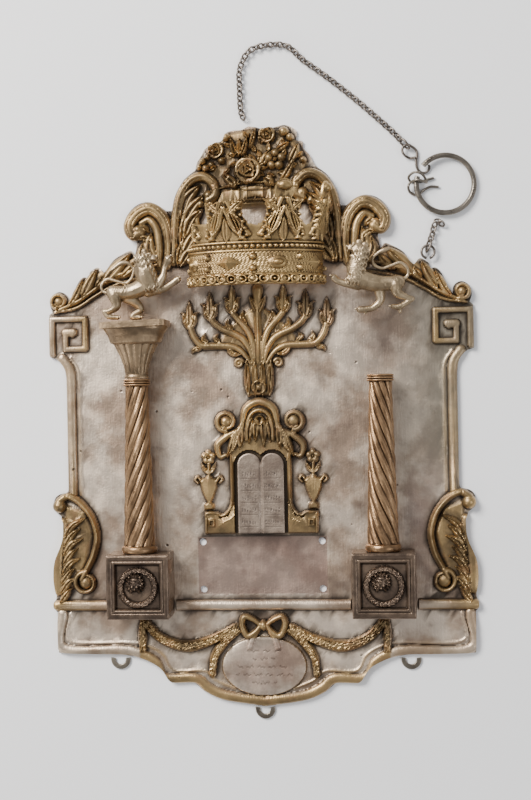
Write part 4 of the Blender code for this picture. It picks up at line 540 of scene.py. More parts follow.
def carve_ark(r):
    """The front of the ark, which stands proud of the field, with its arch, volutes, frame and key feet."""
    half = [(0, 10.8), (7, 8.6), (9.6, 3), (11, -4), (14.6, -14), (19.6, -22), (18.2, -27), (18, -54),
            (21.6, -61.6), (26, -63), (27, -59.4), (36, -59.4), (36, -74)]
    r.plateau(half + mirrored(half[::-1]), 2.6, 1.1)
    arch = [(-11.4, -10), (-10.4, -2), (-8, 5.4), (0, 9.2), (8, 5.4), (10.4, -2), (11.4, -10)]
    r.stroke(arch, [1.8, 2.6, 3, 2.6, 1.8], [4, 4.6, 4.8, 4.6, 4])
    inner = [(-8.6, -15), (-8, -5), (-5, 1.6), (0, 4), (5, 1.6), (8, -5), (8.6, -15)]
    r.stroke(inner, [1.2, 1.5, 1.8, 1.5, 1.2], [4.6, 5, 5.2, 5, 4.6])
    for x, low in ((-6.8, -16.6), (-2.6, -15.6), (2.4, -19), (6.8, -16.2)):
        r.leaf([(0.7 * x, -1), (x, -9), (x, low)], 3.1, 4.9)
    r.ring(0, -2.6, 2.6, 0.9, 5.2)
    for flip in (1, -1):
        r.volute(flip * 21.4, -3, 8, 270, flip, 2.1, 4.4, 0.52)
        r.stroke([(flip * x, y) for x, y in ((10, 2), (11.6, -5), (16, -12), (22, -11))], [1.2, 1.6, 1.2],
                 [4, 4.4, 3.6])
        for base, tip in (((11.6, -6), (13, -20.4)), ((13.6, -7), (17.6, -22.4)), ((15, -9), (21, -25.6))):
            middle = (0.6 * base[0] + 0.4 * tip[0], 0.5 * (base[1] + tip[1]))
            r.leaf([(flip * base[0], base[1]), (flip * middle[0], middle[1]), (flip * tip[0], tip[1])], 3,
                   4.8)
        r.stroke([(flip * x, y) for x, y in ((15, -9), (22, -13), (27, -18), (25.6, -25), (21.6, -24))],
                 [1.6, 2.4, 2.6, 2, 1.4], [3.6, 4, 4, 3.8, 3.4])
        frame = [(18.4, -24), (18.4, -40), (18.6, -54), (21.6, -60.4), (25.4, -62.2), (28, -60.8),
                 (34.6, -60.8), (34.8, -66), (34.8, -72.6)]
        r.stroke([(flip * x, y) for x, y in frame], [1.2, 1.2], [3.8, 3.8])
        r.stroke([(flip * x, y) for x, y in ((16, -26), (16, -56), (18, -63), (24, -66.6))], [0.6, 0.6],
                 [3.2, 3.2])
        r.frame(flip * 31.4, -66.8, 1.4, 1.8, 0.9, 3.8)
        urn(r, flip * 33)


def urn(r, cx):
    """A two-handled urn with a flower in it."""
    body = [(4.6, -38), (6.2, -41), (5.2, -46), (3.2, -51), (1.8, -53.6), (3.6, -55), (3.6, -59)]
    right = [(cx + x, y) for x, y in body]
    r.plateau(right + [(cx - x, y) for x, y in reversed(body)], 2.8, 1.4)
    r.stroke([(cx, -39), (cx, -46), (cx, -52)], [2.6, 2, 1.2], [3.6, 3.2, 2.6])
    for flip in (1, -1):
        r.stroke([(cx + flip * x, y) for x, y in ((4.4, -41), (7, -37.6), (8.6, -39.6), (7, -41.4))], [1, 1],
                 [2.8, 2.8])
        r.leaf([(cx, -36), (cx + flip * 2.6, -33), (cx + flip * 4.6, -28.6)], 1.5, 2.8)
    r.stroke([(cx, -38), (cx, -30)], [1, 1], [2.6, 2.6])
    r.flower(cx, -25.4, 4.6, 5, 3.4)


def carve_garlands(r):
    """The laurel garlands, the bow and the oval cartouche."""
    oval = 2 * math.pi * np.arange(48) / 48
    r.plateau(np.column_stack([27 * np.cos(oval), -157.2 + 19 * np.sin(oval)]), 1.7, 0.8)
    for flip in (1, -1):
        laurel(r, [(flip * x, y) for x, y in ((76, -128), (66, -139), (50, -144.6), (34, -141),
                                              (17, -132.6))], 3.9)
        laurel(r, [(flip * x, y) for x, y in ((15, -134), (24, -141), (31.4, -151), (33, -162.5))], 3.2)
        laurel(r, [(flip * 77, -129), (flip * 77.6, -138), (flip * 77, -148)], 3.2)
        loop = [(2, -131), (7, -127.4), (12, -126), (13.6, -131), (10.6, -137.6), (6, -136), (2.4, -132)]
        r.stroke([(flip * x, y) for x, y in loop], [1.7, 2.4, 2.4, 1.7], [4, 4.8, 4.8, 4])
        r.stroke([(flip * x, y) for x, y in ((3, -134), (7, -139.6), (9, -145))], [1.5, 2.6], [3, 3.2])
    r.ball(0, -131.4, 3, 5.4, 3.6)


def laurel(r, path, width):
    """A garland of overlapping leaves."""
    line = spline(path, 12)
    steps = np.concatenate([[0], np.cumsum(np.hypot(*np.diff(line, axis=0).T))])
    r.stroke(path, [0.7 * width, width, 0.7 * width], [2.2, 2.8, 2.2])
    leaf = 5.6
    for k in range(int(steps[-1] / (0.62 * leaf))):
        at = 0.62 * leaf * k
        here = np.array([np.interp(at, steps, line[:, i]) for i in (0, 1)])
        there = np.array([np.interp(at + leaf, steps, line[:, i]) for i in (0, 1)])
        along = (there - here) / max(np.hypot(*(there - here)), 1e-6)
        across = np.array([-along[1], along[0]])
        for side in (-0.52, 0, 0.52):
            tip = here + leaf * along + side * width * across
            r.leaf([here + 0.5 * side * width * across, 0.5 * (here + tip) + 0.3 * side * width * across,
                    tip], 0.36 * width, 3.7)


def carve_rail(r):
    """The half-round rail, left out where the pedestals stand before it."""
    unit_x, unit_y = drawing_units()
    y, half = RAIL_Y / unit_y, 0.5 * RAIL_THICKNESS / unit_y
    r.stroke([(-132, y), (0, y), (132, y)], [half, half], [3.2, 3.2])
    x = 0.5 * COLUMN_SPACING / unit_x
    reach_x = (0.5 * PEDESTAL_WIDTH + 2 * CLEARANCE) / unit_x + PLATE_GRID
    low = (PEDESTAL_BOTTOM_Y - 2 * CLEARANCE) / unit_y - PLATE_GRID
    high = (PEDESTAL_BOTTOM_Y + PEDESTAL_HEIGHT + 2 * CLEARANCE) / unit_y + PLATE_GRID
    for side in (-1, 1):
        r.h[r.window(side * x - reach_x, low, side * x + reach_x, high)] = 0


def drawing_units():
    """Metres for one drawing unit, across and up."""
    return PLATE_WIDTH / DRAWN_WIDTH, PLATE_HEIGHT / DRAWN_HEIGHT


def flatten_seats(r):
    """Level ground under the title plate's seat and the tablets."""
    unit_x, unit_y = drawing_units()
    half = 0.5 * SEAT_WIDTH / unit_x + PLATE_GRID
    top = SEAT_TOP_Y / unit_y
    r.h[r.window(-half, top - SEAT_HEIGHT / unit_y - PLATE_GRID, half, top)] = 0
    clear = TABLETS_EASE + CLEARANCE
    r.h[tablets_inside(r.x * unit_x, r.y * unit_y) > -clear] = 0


def tablets_inside(x, y):
    """Distance inside the pair's outline, in metres: a rectangle under two round tops."""
    quarter = 0.25 * TABLETS_WIDTH
    spring = TABLETS_BOTTOM_Y + TABLETS_HEIGHT - quarter
    over = quarter - np.hypot(np.abs(x) - quarter, y - spring)
    under = np.minimum(0.5 * TABLETS_WIDTH - np.abs(x), np.minimum(y - TABLETS_BOTTOM_Y, spring - y))
    return np.maximum(over, under)


def clipped_solid(r, inside, top, back):
    """Points and triangles of the closed solid between two surfaces on a relief's grid, where inside > 0."""
    rows, cols = r.h.shape
    count = rows * cols
    flags = inside.ravel() > 0
    index = np.arange(count).reshape(rows, cols)
    corner = [index[:-1, :-1].ravel(), index[:-1, 1:].ravel(), index[1:, 1:].ravel(), index[1:, :-1].ravel()]
    edge_id = [count + corner[0], 2 * count + corner[1], count + corner[3], 2 * count + corner[0]]
    case = sum(flags[c].astype(int) << k for k, c in enumerate(corner))
    triangles = []
    for value in range(1, 16):
        cells = np.flatnonzero(case == value)
        ring = []
        for k in range(4):
            here, after = value >> k & 1, value >> (k + 1) % 4 & 1
            if here:
                ring.append(corner[k][cells])
            if here != after:
                ring.append(edge_id[k][cells])
        triangles += [np.column_stack([ring[0], b, c]) for b, c in zip(ring[1:], ring[2:])]
    triangles = np.vstack(triangles)
    used, triangles = np.unique(triangles, return_inverse=True)
    triangles = triangles.reshape(-1, 3)
    value = inside.ravel()
    fields = np.column_stack([r.x.ravel(), r.y.ravel(), top.ravel(), back.ravel()])
    first = used % count
    kind = used // count
    other = np.where(kind == 1, first + 1, np.where(kind == 2, first + cols, first))
    gap = value[first] - value[other]
    share = np.where(kind > 0, np.clip(value[first] / np.where(gap == 0, 1, gap), 0.1, 0.9), 0)[:, None]
    points = fields[first] * (1 - share) + fields[other] * share
    edges = np.concatenate([triangles[:, [0, 1]], triangles[:, [1, 2]], triangles[:, [2, 0]]])
    _, where, times = np.unique(np.sort(edges, axis=1), axis=0, return_index=True, return_counts=True)
    rim = edges[where[times == 1]]
    n = len(points)
    wall = np.vstack([np.column_stack([rim[:, 1], rim[:, 0], rim[:, 0] + n]),
                      np.column_stack([rim[:, 1], rim[:, 0] + n, rim[:, 1] + n])])
    everything = np.vstack([triangles, triangles[:, ::-1] + n, wall])
    return np.vstack([points[:, [0, 1, 2]], points[:, [0, 1, 3]]]), everything


def mesh_from(name, points, faces):
    mesh = bpy.data.meshes.new(name)
    mesh.vertices.add(len(points))
    mesh.vertices.foreach_set("co", np.ascontiguousarray(points, np.float32).ravel())
    mesh.loops.add(3 * len(faces))
    mesh.loops.foreach_set("vertex_index", np.ascontiguousarray(faces, np.int32).ravel())
    mesh.polygons.add(len(faces))
    mesh.polygons.foreach_set("loop_start", np.arange(0, 3 * len(faces), 3, dtype=np.int32))
    mesh.update(calc_edges=True)
    mesh.validate()
    return mesh


def applied(obj, keep=True):
    """The object's mesh with its modifiers applied."""
    bpy.context.view_layer.update()
    graph = bpy.context.evaluated_depsgraph_get()
    mesh = bpy.data.meshes.new_from_object(obj.evaluated_get(graph))
    if not keep:
        bpy.data.objects.remove(obj)
    return mesh


def thinned(name, points, faces, target):
    """A mesh brought down to about so many triangles, which gather where the carving is."""
    mesh = mesh_from(name + "_fine", points, faces)
    obj = bpy.data.objects.new(name + "_fine", mesh)
    bpy.context.scene.collection.objects.link(obj)
    cut = obj.modifiers.new("thin", "DECIMATE")
    cut.ratio = min(1.0, target / len(faces))
    cut.use_collapse_triangulate = True
    return applied(obj, keep=False)


def fleuron_angles():
    return [math.radians(a) for a in (-70, -22, 26, 74)]


def drawn_x(angle):
    """Where an angle round the crown lies on the flat strip."""
    return angle / math.radians(CROWN_HALF_TURN_DEG) * CROWN_DRAWN_HALF


def crown_mask(r):
    """Where the flat strip has metal: the band and the leafy fleurons, without the openings between them."""
    scallop = 0.7 * np.abs(np.sin(1.1 * r.y + 0.9 * r.x))
    inside = np.minimum(CROWN_DRAWN_HALF - 1 - np.abs(r.x), r.y - 0.5)
    torn = np.maximum(24.5 - r.y, 0.9 * (r.x + 40.5) - 0.42 * (r.y - 24.5) + 0.5 * np.sin(1.4 * r.y))
    inside = np.minimum(inside, torn)
    solid = 38.5 - r.y
    for k, angle in enumerate(fleuron_angles()):
        dx = r.x - drawn_x(angle)
        missing = k < 2
        top = (51.5 if missing else 52.5) - 0.9 * np.abs(np.sin(0.9 * dx))
        leaf = np.minimum(top - r.y, 11 - np.abs(dx))
        solid = np.maximum(solid, leaf)
        if not missing:
            bud = 1 - np.hypot(dx / 4.8, (r.y - 57) / 7.2)
            solid = np.maximum(solid, 4.8 * bud)
    pierced = np.full(r.x.shape, 9.0)
    angles = fleuron_angles()
    for a, b in zip(angles[1:], angles[2:]):
        dx = r.x - drawn_x(0.5 * (a + b))
        spade = np.hypot(dx / 5.6, (r.y - 45.5) / 8.2) - 1
        pierced = np.minimum(pierced, 5.6 * spade - scallop)
    return np.minimum(inside, solid), pierced


def carve_crown(r):
    """Beads, stones and leaves on the flat strip."""
    arc = CROWN_DRAWN_HALF
    step = drawn_x(math.radians(STONE_STEP_DEG))
    for y, height in ((1.2, 1.2), (6.6, 0.8), (21.2, 0.8), (26.2, 1.0)):
        r.stroke([(-arc, y), (0, y), (arc, y)], [0.8, 0.8], [height, height])
    for k in range(-6, 7):
        r.ball(7.6 * k, 3.8, 2.7, 1.9)
    for k in range(-16, 17):
        r.ball(3 * k, 23.8, 1.3, 1.6)
    for k in range(-4, 5):
        cx = k * step
        if k % 2 == 0:
            r.ball(cx, 10.4, 1.9, 2.6)
            r.ball(cx, 17.4, 1.9, 2.6)
        elif k in (-1, 3):
            win = r.window(cx - 8, 8, cx + 8, 20)
            share = np.abs(r.x[win] - cx) / 7.4 + np.abs(r.y[win] - 13.9) / 4.8
            r.raise_to(win, 3.4 * np.clip(1 - share, 0, 1))
        else:
            r.ball(cx, 13.9, 5, 1.6, 4)
            r.ball(cx, 13.9, 3, 3.2, 2)
    for angle in fleuron_angles():
        cx = drawn_x(angle)
        for flip in (1, -1):
            r.stroke([(cx, 47), (cx + flip * 2.6, 40), (cx + flip * 5.4, 33), (cx + flip * 9.6, 28)],
                     [1.2, 1.3, 1.1], [2.6, 2.4, 1.6])
            r.stroke([(cx + flip * 1.6, 52), (cx + flip * 4.4, 44), (cx + flip * 8, 37),
                      (cx + flip * 12, 31)], [1.3, 1.2], [2.2, 1.4])
            r.leaf([(cx + flip * 3, 44), (cx + flip * 6, 48), (cx + flip * 9.6, 51.4)], 2, 2.2)
        r.leaf([(cx, 27), (cx, 33), (cx, 41)], 2.6, 1.6)
        r.ball(cx, 60, 3.4, 2.8, 3)


def unit_ball():
    """Points and triangles of a ball of radius 1."""
    bm = bmesh.new()
    bmesh.ops.create_icosphere(bm, subdivisions=2, radius=1)
    points = np.array([v.co for v in bm.verts])
    faces = np.array([[v.index for v in f.verts] for f in bm.faces])
    bm.free()
    return points, faces


def swept(name, paths, balls, voxel, target):
    """One body grown from tapering limbs and rounded masses, each given with its radii."""
    ball_points, ball_faces = unit_ball()
    limbs = [((x, y, z), (radius,) * 3) for path in paths for x, y, z, radius in spline(path, 6)]
    masses = limbs + list(balls)
    points = np.vstack([ball_points * radii + centre for centre, radii in masses])
    faces = np.vstack([ball_faces + k * len(ball_points) for k in range(len(masses))])
    obj = bpy.data.objects.new(name + "_shapes", mesh_from(name + "_shapes", points, faces))
    bpy.context.scene.collection.objects.link(obj)
    grown = obj.modifiers.new("grown", "REMESH")
    grown.mode = "VOXEL"
    grown.voxel_size = voxel
    soft = obj.modifiers.new("soft", "SMOOTH")
    soft.iterations = 2
    thin = obj.modifiers.new("thin", "DECIMATE")
    thin.ratio = 1.0
    bpy.context.view_layer.update()
    graph = bpy.context.evaluated_depsgraph_get()
    count = 2 * len(obj.evaluated_get(graph).data.polygons)
    thin.ratio = min(1.0, target / count)
    thin.use_collapse_triangulate = True
    return applied(obj, keep=False)


def lion_limbs():
    """The left lion: it looks to +x and lifts a paw. Units of its length, feet at y = 0, middle at z = 0."""
    return [
        [(0.11, 0.38, 0, 0.10), (0.30, 0.37, 0, 0.105), (0.48, 0.42, 0, 0.125), (0.61, 0.50, 0, 0.15)],
        [(0.13, 0.34, 0.02, 0.095), (0.16, 0.20, 0.03, 0.065), (0.08, 0.13, 0.03, 0.045),
         (-0.01, 0.12, 0.03, 0.035)],
        [(-0.01, 0.12, 0.03, 0.035), (0.04, 0.05, 0.03, 0.035), (0.17, 0.035, 0.03, 0.035)],
        [(0.28, 0.31, -0.03, 0.08), (0.41, 0.24, -0.03, 0.07), (0.49, 0.14, -0.03, 0.045),
         (0.40, 0.08, -0.03, 0.042),
         (0.37, 0.04, -0.03, 0.04), (0.47, 0.035, -0.03, 0.035)],
        [(0.60, 0.38, 0, 0.085), (0.80, 0.41, 0, 0.056), (0.92, 0.47, 0, 0.046), (1.01, 0.53, 0, 0.05)],
        [(0.76, 0.48, 0.04, 0.07), (0.82, 0.58, 0.05, 0.05), (0.85, 0.70, 0.05, 0.042),
         (0.90, 0.80, 0.05, 0.066)],
        [(0.065, 0.36, 0, 0.03), (-0.034, 0.404, 0, 0.022), (-0.048, 0.489, 0, 0.022),
         (0.037, 0.56, 0, 0.022),
         (0.164, 0.53, 0, 0.022), (0.292, 0.50, 0, 0.022), (0.377, 0.574, 0, 0.022), (0.398, 0.687, 0, 0.022),
         (0.334, 0.765, 0, 0.026), (0.235, 0.772, 0, 0.034), (0.164, 0.73, 0, 0.03), (0.09, 0.68, 0, 0.018)],
        [(0.53, 0.78, 0.02, 0.12), (0.57, 0.62, 0.03, 0.15), (0.63, 0.48, 0.03, 0.14)],
    ]


def lion_masses():
    """The left lion's head: skull, muzzle, jaw and ears."""
    return [
        ((0.60, 0.81, 0.04), (0.10, 0.10, 0.10)),
        ((0.69, 0.83, 0.05), (0.07, 0.05, 0.07)),
        ((0.655, 0.715, 0.05), (0.055, 0.03, 0.055)),
        ((0.48, 0.85, 0.05), (0.04, 0.045, 0.03)),
        ((0.565, 0.915, 0.05), (0.045, 0.045, 0.03)),
    ]


def worn_lion_limbs():
    """The right lion, drawn to +x like the other. Its raised paw is lost and pins show under its feet."""
    return [
        [(0.17, 0.41, 0, 0.10), (0.34, 0.40, 0, 0.105), (0.52, 0.42, 0, 0.125), (0.70, 0.48, 0, 0.14)],
        [(0.20, 0.38, 0.02, 0.095), (0.18, 0.27, 0.03, 0.07), (0.07, 0.21, 0.03, 0.045),
         (-0.01, 0.185, 0.03, 0.04)],
        [(-0.01, 0.185, 0.03, 0.04), (0.07, 0.13, 0.03, 0.035), (0.16, 0.085, 0.03, 0.042),
         (0.24, 0.09, 0.03, 0.035)],
        [(0.15, 0.08, 0.02, 0.025), (0.15, 0.02, 0.02, 0.022)],
        [(0.42, 0.34, -0.03, 0.085), (0.41, 0.18, -0.03, 0.055), (0.50, 0.09, -0.03, 0.045),
         (0.58, 0.07, -0.03, 0.045),
         (0.69, 0.065, -0.03, 0.045)],
        [(0.61, 0.06, -0.03, 0.025), (0.61, 0.02, -0.03, 0.022)],
        [(0.70, 0.40, 0, 0.085), (0.84, 0.41, 0, 0.056), (0.97, 0.45, 0, 0.046), (1.03, 0.50, 0, 0.048)],
        [(0.12, 0.44, 0, 0.03), (0.04, 0.50, 0, 0.022), (0.045, 0.60, 0, 0.022), (0.136, 0.672, 0, 0.022),
         (0.263, 0.637, 0, 0.022), (0.377, 0.605, 0, 0.022), (0.48, 0.65, 0, 0.022), (0.504, 0.737, 0, 0.022),
         (0.43, 0.81, 0, 0.024), (0.36, 0.84, 0, 0.036), (0.30, 0.86, 0, 0.03)],
        [(0.64, 0.80, 0.02, 0.11), (0.72, 0.64, 0.03, 0.135), (0.74, 0.50, 0.03, 0.12)],
    ]


def worn_lion_masses():
    return [
        ((0.70, 0.86, 0.04), (0.10, 0.095, 0.10)),
        ((0.79, 0.89, 0.05), (0.065, 0.05, 0.07)),
        ((0.765, 0.775, 0.05), (0.055, 0.03, 0.055)),
        ((0.60, 0.92, 0.05), (0.045, 0.045, 0.03)),
        ((0.68, 0.96, 0.05), (0.045, 0.04, 0.03)),
    ]


def turned_solid(name, rows, radius_at, sides, matrix, turn_at=lambda row: 0):
    """A closed solid turned about Y: radius_at(row, angle) gives its radius and turn_at(row) its twist."""
    even = 2 * math.pi * np.arange(sides) / sides
    points = []
    for row in rows:
        angles = even - turn_at(row)
        rad = radius_at(row, angles)
        points.append(np.column_stack([rad * np.cos(angles), np.full(sides, row), -rad * np.sin(angles)]))
    points = np.vstack(points + [[(0, rows[0], 0), (0, rows[-1], 0)]])
    faces = []
    for j in range(len(rows) - 1):
        for i in range(sides):
            a, b = j * sides + i, j * sides + (i + 1) % sides
            faces += [(a, b, b + sides), (a, b + sides, a + sides)]
    last = (len(rows) - 1) * sides
    for i in range(sides):
        k = (i + 1) % sides
        faces += [(len(points) - 2, k, i), (len(points) - 1, last + i, last + k)]
    mesh = mesh_from(name, points, np.array(faces))
    mesh.transform(matrix)
    return mesh


def column_axis_z():
    return SHEET + CLEARANCE + COLUMN_RING_RADIUS


def column_foot_y():
    return PEDESTAL_BOTTOM_Y + PEDESTAL_HEIGHT + CLEARANCE


def crest_top():
    return 0.5 * PLATE_HEIGHT


def chain_route():
    """Where the chain lies, from the crest to the hook, measured from the top of the plate."""
    points = [(-6.6, 4.4), (-8.4, 10), (-8.8, 23), (-8.4, 36.4), (-2, 47.4), (10.6, 50.6), (22, 49),
              (31.4, 40.2), (48, 27.4), (66.4, 11.8), (84.4, -5)]
    end_x, end_y, _ = from_ring([(-26.8, 28.2, 0)])[0]
    return spline([(0.001 * x, crest_top() + 0.001 * y) for x, y in points] + [(end_x, end_y)], 12)


def eyelet_centre():
    """The middle of the eyelet, whose rim rests against the plate's edge line."""
    unit_x, unit_y = drawing_units()
    outline = plate_outline() * (unit_x, unit_y)
    x = EYELET_SHARE * PLATE_WIDTH
    reach = 0.5 * EYELET_OUTER + CLEARANCE
    near = outline[(np.abs(outline[:, 0] - x) < reach) & (outline[:, 1] > 0)]
    return x, (near[:, 1] + np.sqrt(reach**2 - (near[:, 0] - x) ** 2)).max()


def ring_centre():
    x, y = eyelet_centre()
    return x + RING_FROM_EYELET[0], y + RING_FROM_EYELET[1]


def hook_level():
    """Height of the middle of a hook's wire that lies flat."""
    return 0.5 * HOOK_WIRE + FLOOR_GAP


def lifted_level():
    """Height of the middle of a big link that stands on its edge, and of the wire that it goes round."""
    across = 0.5 * (BIG_LINK_WIDTH - BIG_LINK_WIRE) * math.sin(math.radians(BIG_LINK_TILT_DEG))
    return FLOOR_GAP + 0.5 * BIG_LINK_WIRE + across


def ring_level():
    """Height of the ring's wire where it lies over the hook."""
    return hook_level() + 0.5 * HOOK_WIRE + 0.5 * HANGING_WIRE + CLEARANCE


def softened(h, passes):
    """A grid of heights, smoothed."""
    h = h.copy()
    for _ in range(passes):
        h[1:-1] = 0.25 * (h[:-2] + 2 * h[1:-1] + h[2:])
        h[:, 1:-1] = 0.25 * (h[:, :-2] + 2 * h[:, 1:-1] + h[:, 2:])
    return h


def sampled(r, grid, x, y):
    """Values of a grid at points in drawing units."""
    step_x, step_y = r.xs[1] - r.xs[0], r.ys[1] - r.ys[0]
    i = np.clip((x - r.xs[0]) / step_x, 0, len(r.xs) - 1.001)
    j = np.clip((y - r.ys[0]) / step_y, 0, len(r.ys) - 1.001)
    i0, j0 = i.astype(int), j.astype(int)
    s, t = i - i0, j - j0
    low = grid[j0, i0] * (1 - s) + grid[j0, i0 + 1] * s
    high = grid[j0 + 1, i0] * (1 - s) + grid[j0 + 1, i0 + 1] * s
    return low * (1 - t) + high * t


def points_of(mesh):
    points = np.empty(3 * len(mesh.vertices), np.float32)
    mesh.vertices.foreach_get("co", points)
    return points.reshape(-1, 3).astype(float)


def tint(mesh, name, values):
    """A value for each point of a mesh, for its material to read."""
    layer = mesh.attributes.new(name, "FLOAT", "POINT")
    layer.data.foreach_set("value", np.ascontiguousarray(values, np.float32))


def held_in_box(mesh, node):
    """Keeps a fine mesh within its solid's box."""
    low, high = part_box(node)
    points = np.clip(points_of(mesh), np.array(low), np.array(high))
    mesh.vertices.foreach_set("co", np.ascontiguousarray(points, np.float32).ravel())
    mesh.update()


def dressed(node, mesh, finish, sharp_deg=50):
    """A fine piece in the place of one solid."""
    held_in_box(mesh, node)
    mesh.shade_smooth()
    mesh.set_sharp_from_angle(angle=math.radians(sharp_deg))
    piece = bpy.data.objects.new(node + "_fine", mesh)
    mesh.materials.clear()
    mesh.materials.append(finish)
    bpy.context.scene.collection.objects.link(piece)
    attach(piece, "root")
    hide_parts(node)
    return piece


# Materials.
def node(tree, kind, values=None, links=None, **settings):
    made = tree.nodes.new(kind)
    for key, value in settings.items():
        setattr(made, key, value)
    for key, value in (values or {}).items():
        made.inputs[key].default_value = value
    for key, value in (links or {}).items():
        tree.links.new(value, made.inputs[key])
    return made


def noise(tree, place_from, scale, low, high, detail=5, stretch=(1, 1, 1)):
    """Cloudy noise that runs from 0 to 1 between two of its levels."""
    where = node(tree, "ShaderNodeVectorMath", {1: stretch}, {0: place_from}, operation="MULTIPLY")
    cloud = node(tree, "ShaderNodeTexNoise", {"Scale": scale, "Detail": detail, "Roughness": 0.6}, {"Vector": where.outputs[0]})
    return ramp(tree, cloud.outputs[0], low, high)


def ramp(tree, value, low, high, start=0.0, end=1.0):
    levels = {"From Min": low, "From Max": high, "To Min": start, "To Max": end}
    return node(tree, "ShaderNodeMapRange", levels, {"Value": value}, interpolation_type="SMOOTHSTEP").outputs[0]


def blend(tree, share, first, second):
    """A colour between two, each a node's output or a fixed colour."""
    mixer = node(tree, "ShaderNodeMix", data_type="RGBA")
    for socket, value in ((0, share), (6, first), (7, second)):
        if isinstance(value, bpy.types.NodeSocket):
            tree.links.new(value, mixer.inputs[socket])
        elif isinstance(value, (int, float)):
            mixer.inputs[socket].default_value = value
        else:
            mixer.inputs[socket].default_value = (*value, 1)
    return mixer.outputs[2]


def times(tree, first, second):
    product = node(tree, "ShaderNodeMath", operation="MULTIPLY")
    for socket, value in ((0, first), (1, second)):
        if isinstance(value, bpy.types.NodeSocket):
            tree.links.new(value, product.inputs[socket])
        else:
            product.inputs[socket].default_value = value
    return product.outputs[0]


def mask(tree, name):
    """A piece's own painted value."""
    return node(tree, "ShaderNodeAttribute", attribute_name=name).outputs["Fac"]


def new_material(name):
    mat = bpy.data.materials.new(name)
    mat.use_nodes = True
    tree = mat.node_tree
    coords = node(tree, "ShaderNodeTexCoord").outputs["Object"]
    return mat, tree, coords


def finished(mat, tree, colour, roughness, metallic, bumps):
    """Joins colour, roughness and the bumps, each a value with its depth, to the material's shader."""
    shader = tree.nodes["Principled BSDF"]
    shader.inputs["Metallic"].default_value = metallic
    tree.links.new(colour, shader.inputs["Base Color"])
    tree.links.new(roughness, shader.inputs["Roughness"])
    last = None
    for value, depth in bumps:
        bump = node(tree, "ShaderNodeBump", {"Strength": 1.0, "Distance": depth}, {"Height": value})
        if last:
            tree.links.new(last, bump.inputs["Normal"])
        last = bump.outputs[0]
    tree.links.new(last, shader.inputs["Normal"])
    return mat


def edges(tree):
    """0 in the hollows of a mesh, 1 on its edges."""
    return ramp(tree, node(tree, "ShaderNodeNewGeometry").outputs["Pointiness"], 0.42, 0.58)


GOLD = (0.40, 0.27, 0.125)
OLIVE = (0.19, 0.13, 0.065)
COPPER = (0.36, 0.20, 0.10)
PALE_SILVER = (0.76, 0.625, 0.49)
WARM_SILVER = (0.40, 0.29, 0.21)
TARNISH = (0.15, 0.105, 0.085)
# Dark of the real pits, and of the painted shade.
SOOT_AND_SHADE = (0.035, 0.027, 0.022)


def plate_finish():
    """Silver ground, gilt ornament, painted shade in the hollows, a painted reflection greyer on the right, and
    stains where they lie on the shield.
    """
    mat, tree, coords = new_material("plate_metal")
    silver = blend(tree, noise(tree, coords, 26, 0.42, 0.62), PALE_SILVER, WARM_SILVER)
    silver = blend(tree, times(tree, noise(tree, coords, 60, 0.50, 0.72), 0.55), silver, TARNISH)
    silver = blend(tree, times(tree, noise(tree, coords, 14, 0.55, 0.75, 8, (1, 0.35, 1)), 0.5), silver, (0.27, 0.205, 0.19))
    # Painted reflection: the right side of the plate greyer, except near its foot.
    silver = blend(tree, times(tree, mask(tree, "painted_reflection_grey"), 0.85), silver, (0.22, 0.195, 0.15))
    silver = blend(tree, mask(tree, "rosy"), silver, (0.33, 0.215, 0.175))
    gilt = blend(tree, noise(tree, coords, 45, 0.4, 0.65), GOLD, OLIVE)
    gilt = blend(tree, times(tree, noise(tree, coords, 120, 0.52, 0.7), 0.5), gilt, COPPER)
    colour = blend(tree, mask(tree, "gilt"), silver, gilt)
    colour = blend(tree, mask(tree, "stain"), colour, TARNISH)
    pits = node(tree, "ShaderNodeTexVoronoi", {"Scale": 130.0}, {"Vector": coords})
    rare = noise(tree, coords, 40, 0.56, 0.62)
    pitted = times(tree, ramp(tree, pits.outputs[0], 0.16, 0.07), rare)
    colour = blend(tree, times(tree, pitted, 0.85), colour, SOOT_AND_SHADE)
    # Painted shade: the hollows, the foot of the ornament and the line under the ark are darkened; the cartouche's
    # strokes are real dark marks.
    colour = blend(tree, mask(tree, "deep"), colour, SOOT_AND_SHADE)
    rough = noise(tree, coords, 70, 0.35, 0.7)
    rough = ramp(tree, rough, 0, 1, 0.36, 0.52)
    scratches = noise(tree, coords, 900, 0.4, 0.6, 2, (1, 0.08, 1))
    grain = noise(tree, coords, 700, 0.3, 0.7, 3)
    return finished(mat, tree, colour, rough, 0.88, [(scratches, 0.00003), (grain, 0.00004), (pitted, -0.0002)])


def aged_and_shaded(name, light, shade, hollow_shade, low=0.40, high=0.60, rough=(0.30, 0.48), hollow_shade_share=0.9, clouds=60.0):
    """Cast or beaten metal: painted shade in the hollows, a painted highlight on the edges."""
    mat, tree, coords = new_material(name)
    colour = blend(tree, noise(tree, coords, clouds, 0.38, 0.66), light, shade)
    raised = ramp(tree, node(tree, "ShaderNodeNewGeometry").outputs["Pointiness"], low, high)
    hollow = ramp(tree, node(tree, "ShaderNodeNewGeometry").outputs["Pointiness"], 0.5, low)
    # Painted shade: the hollows darkened.
    colour = blend(tree, times(tree, hollow, hollow_shade_share), colour, hollow_shade)
    # Painted highlight: the edges lightened.
    edge_highlight = tuple(min(1.0, 1.35 * c) for c in light)
    colour = blend(tree, times(tree, ramp(tree, raised, 0.62, 1.0), 0.6), colour, edge_highlight)
    roughness = ramp(tree, noise(tree, coords, 160, 0.3, 0.7), 0, 1, *rough)
    grain = noise(tree, coords, 900, 0.3, 0.7, 3)
    dents = noise(tree, coords, 180, 0.2, 0.8, 3)
    return finished(mat, tree, colour, roughness, 0.9, [(grain, 0.00004), (dents, 0.00012)])


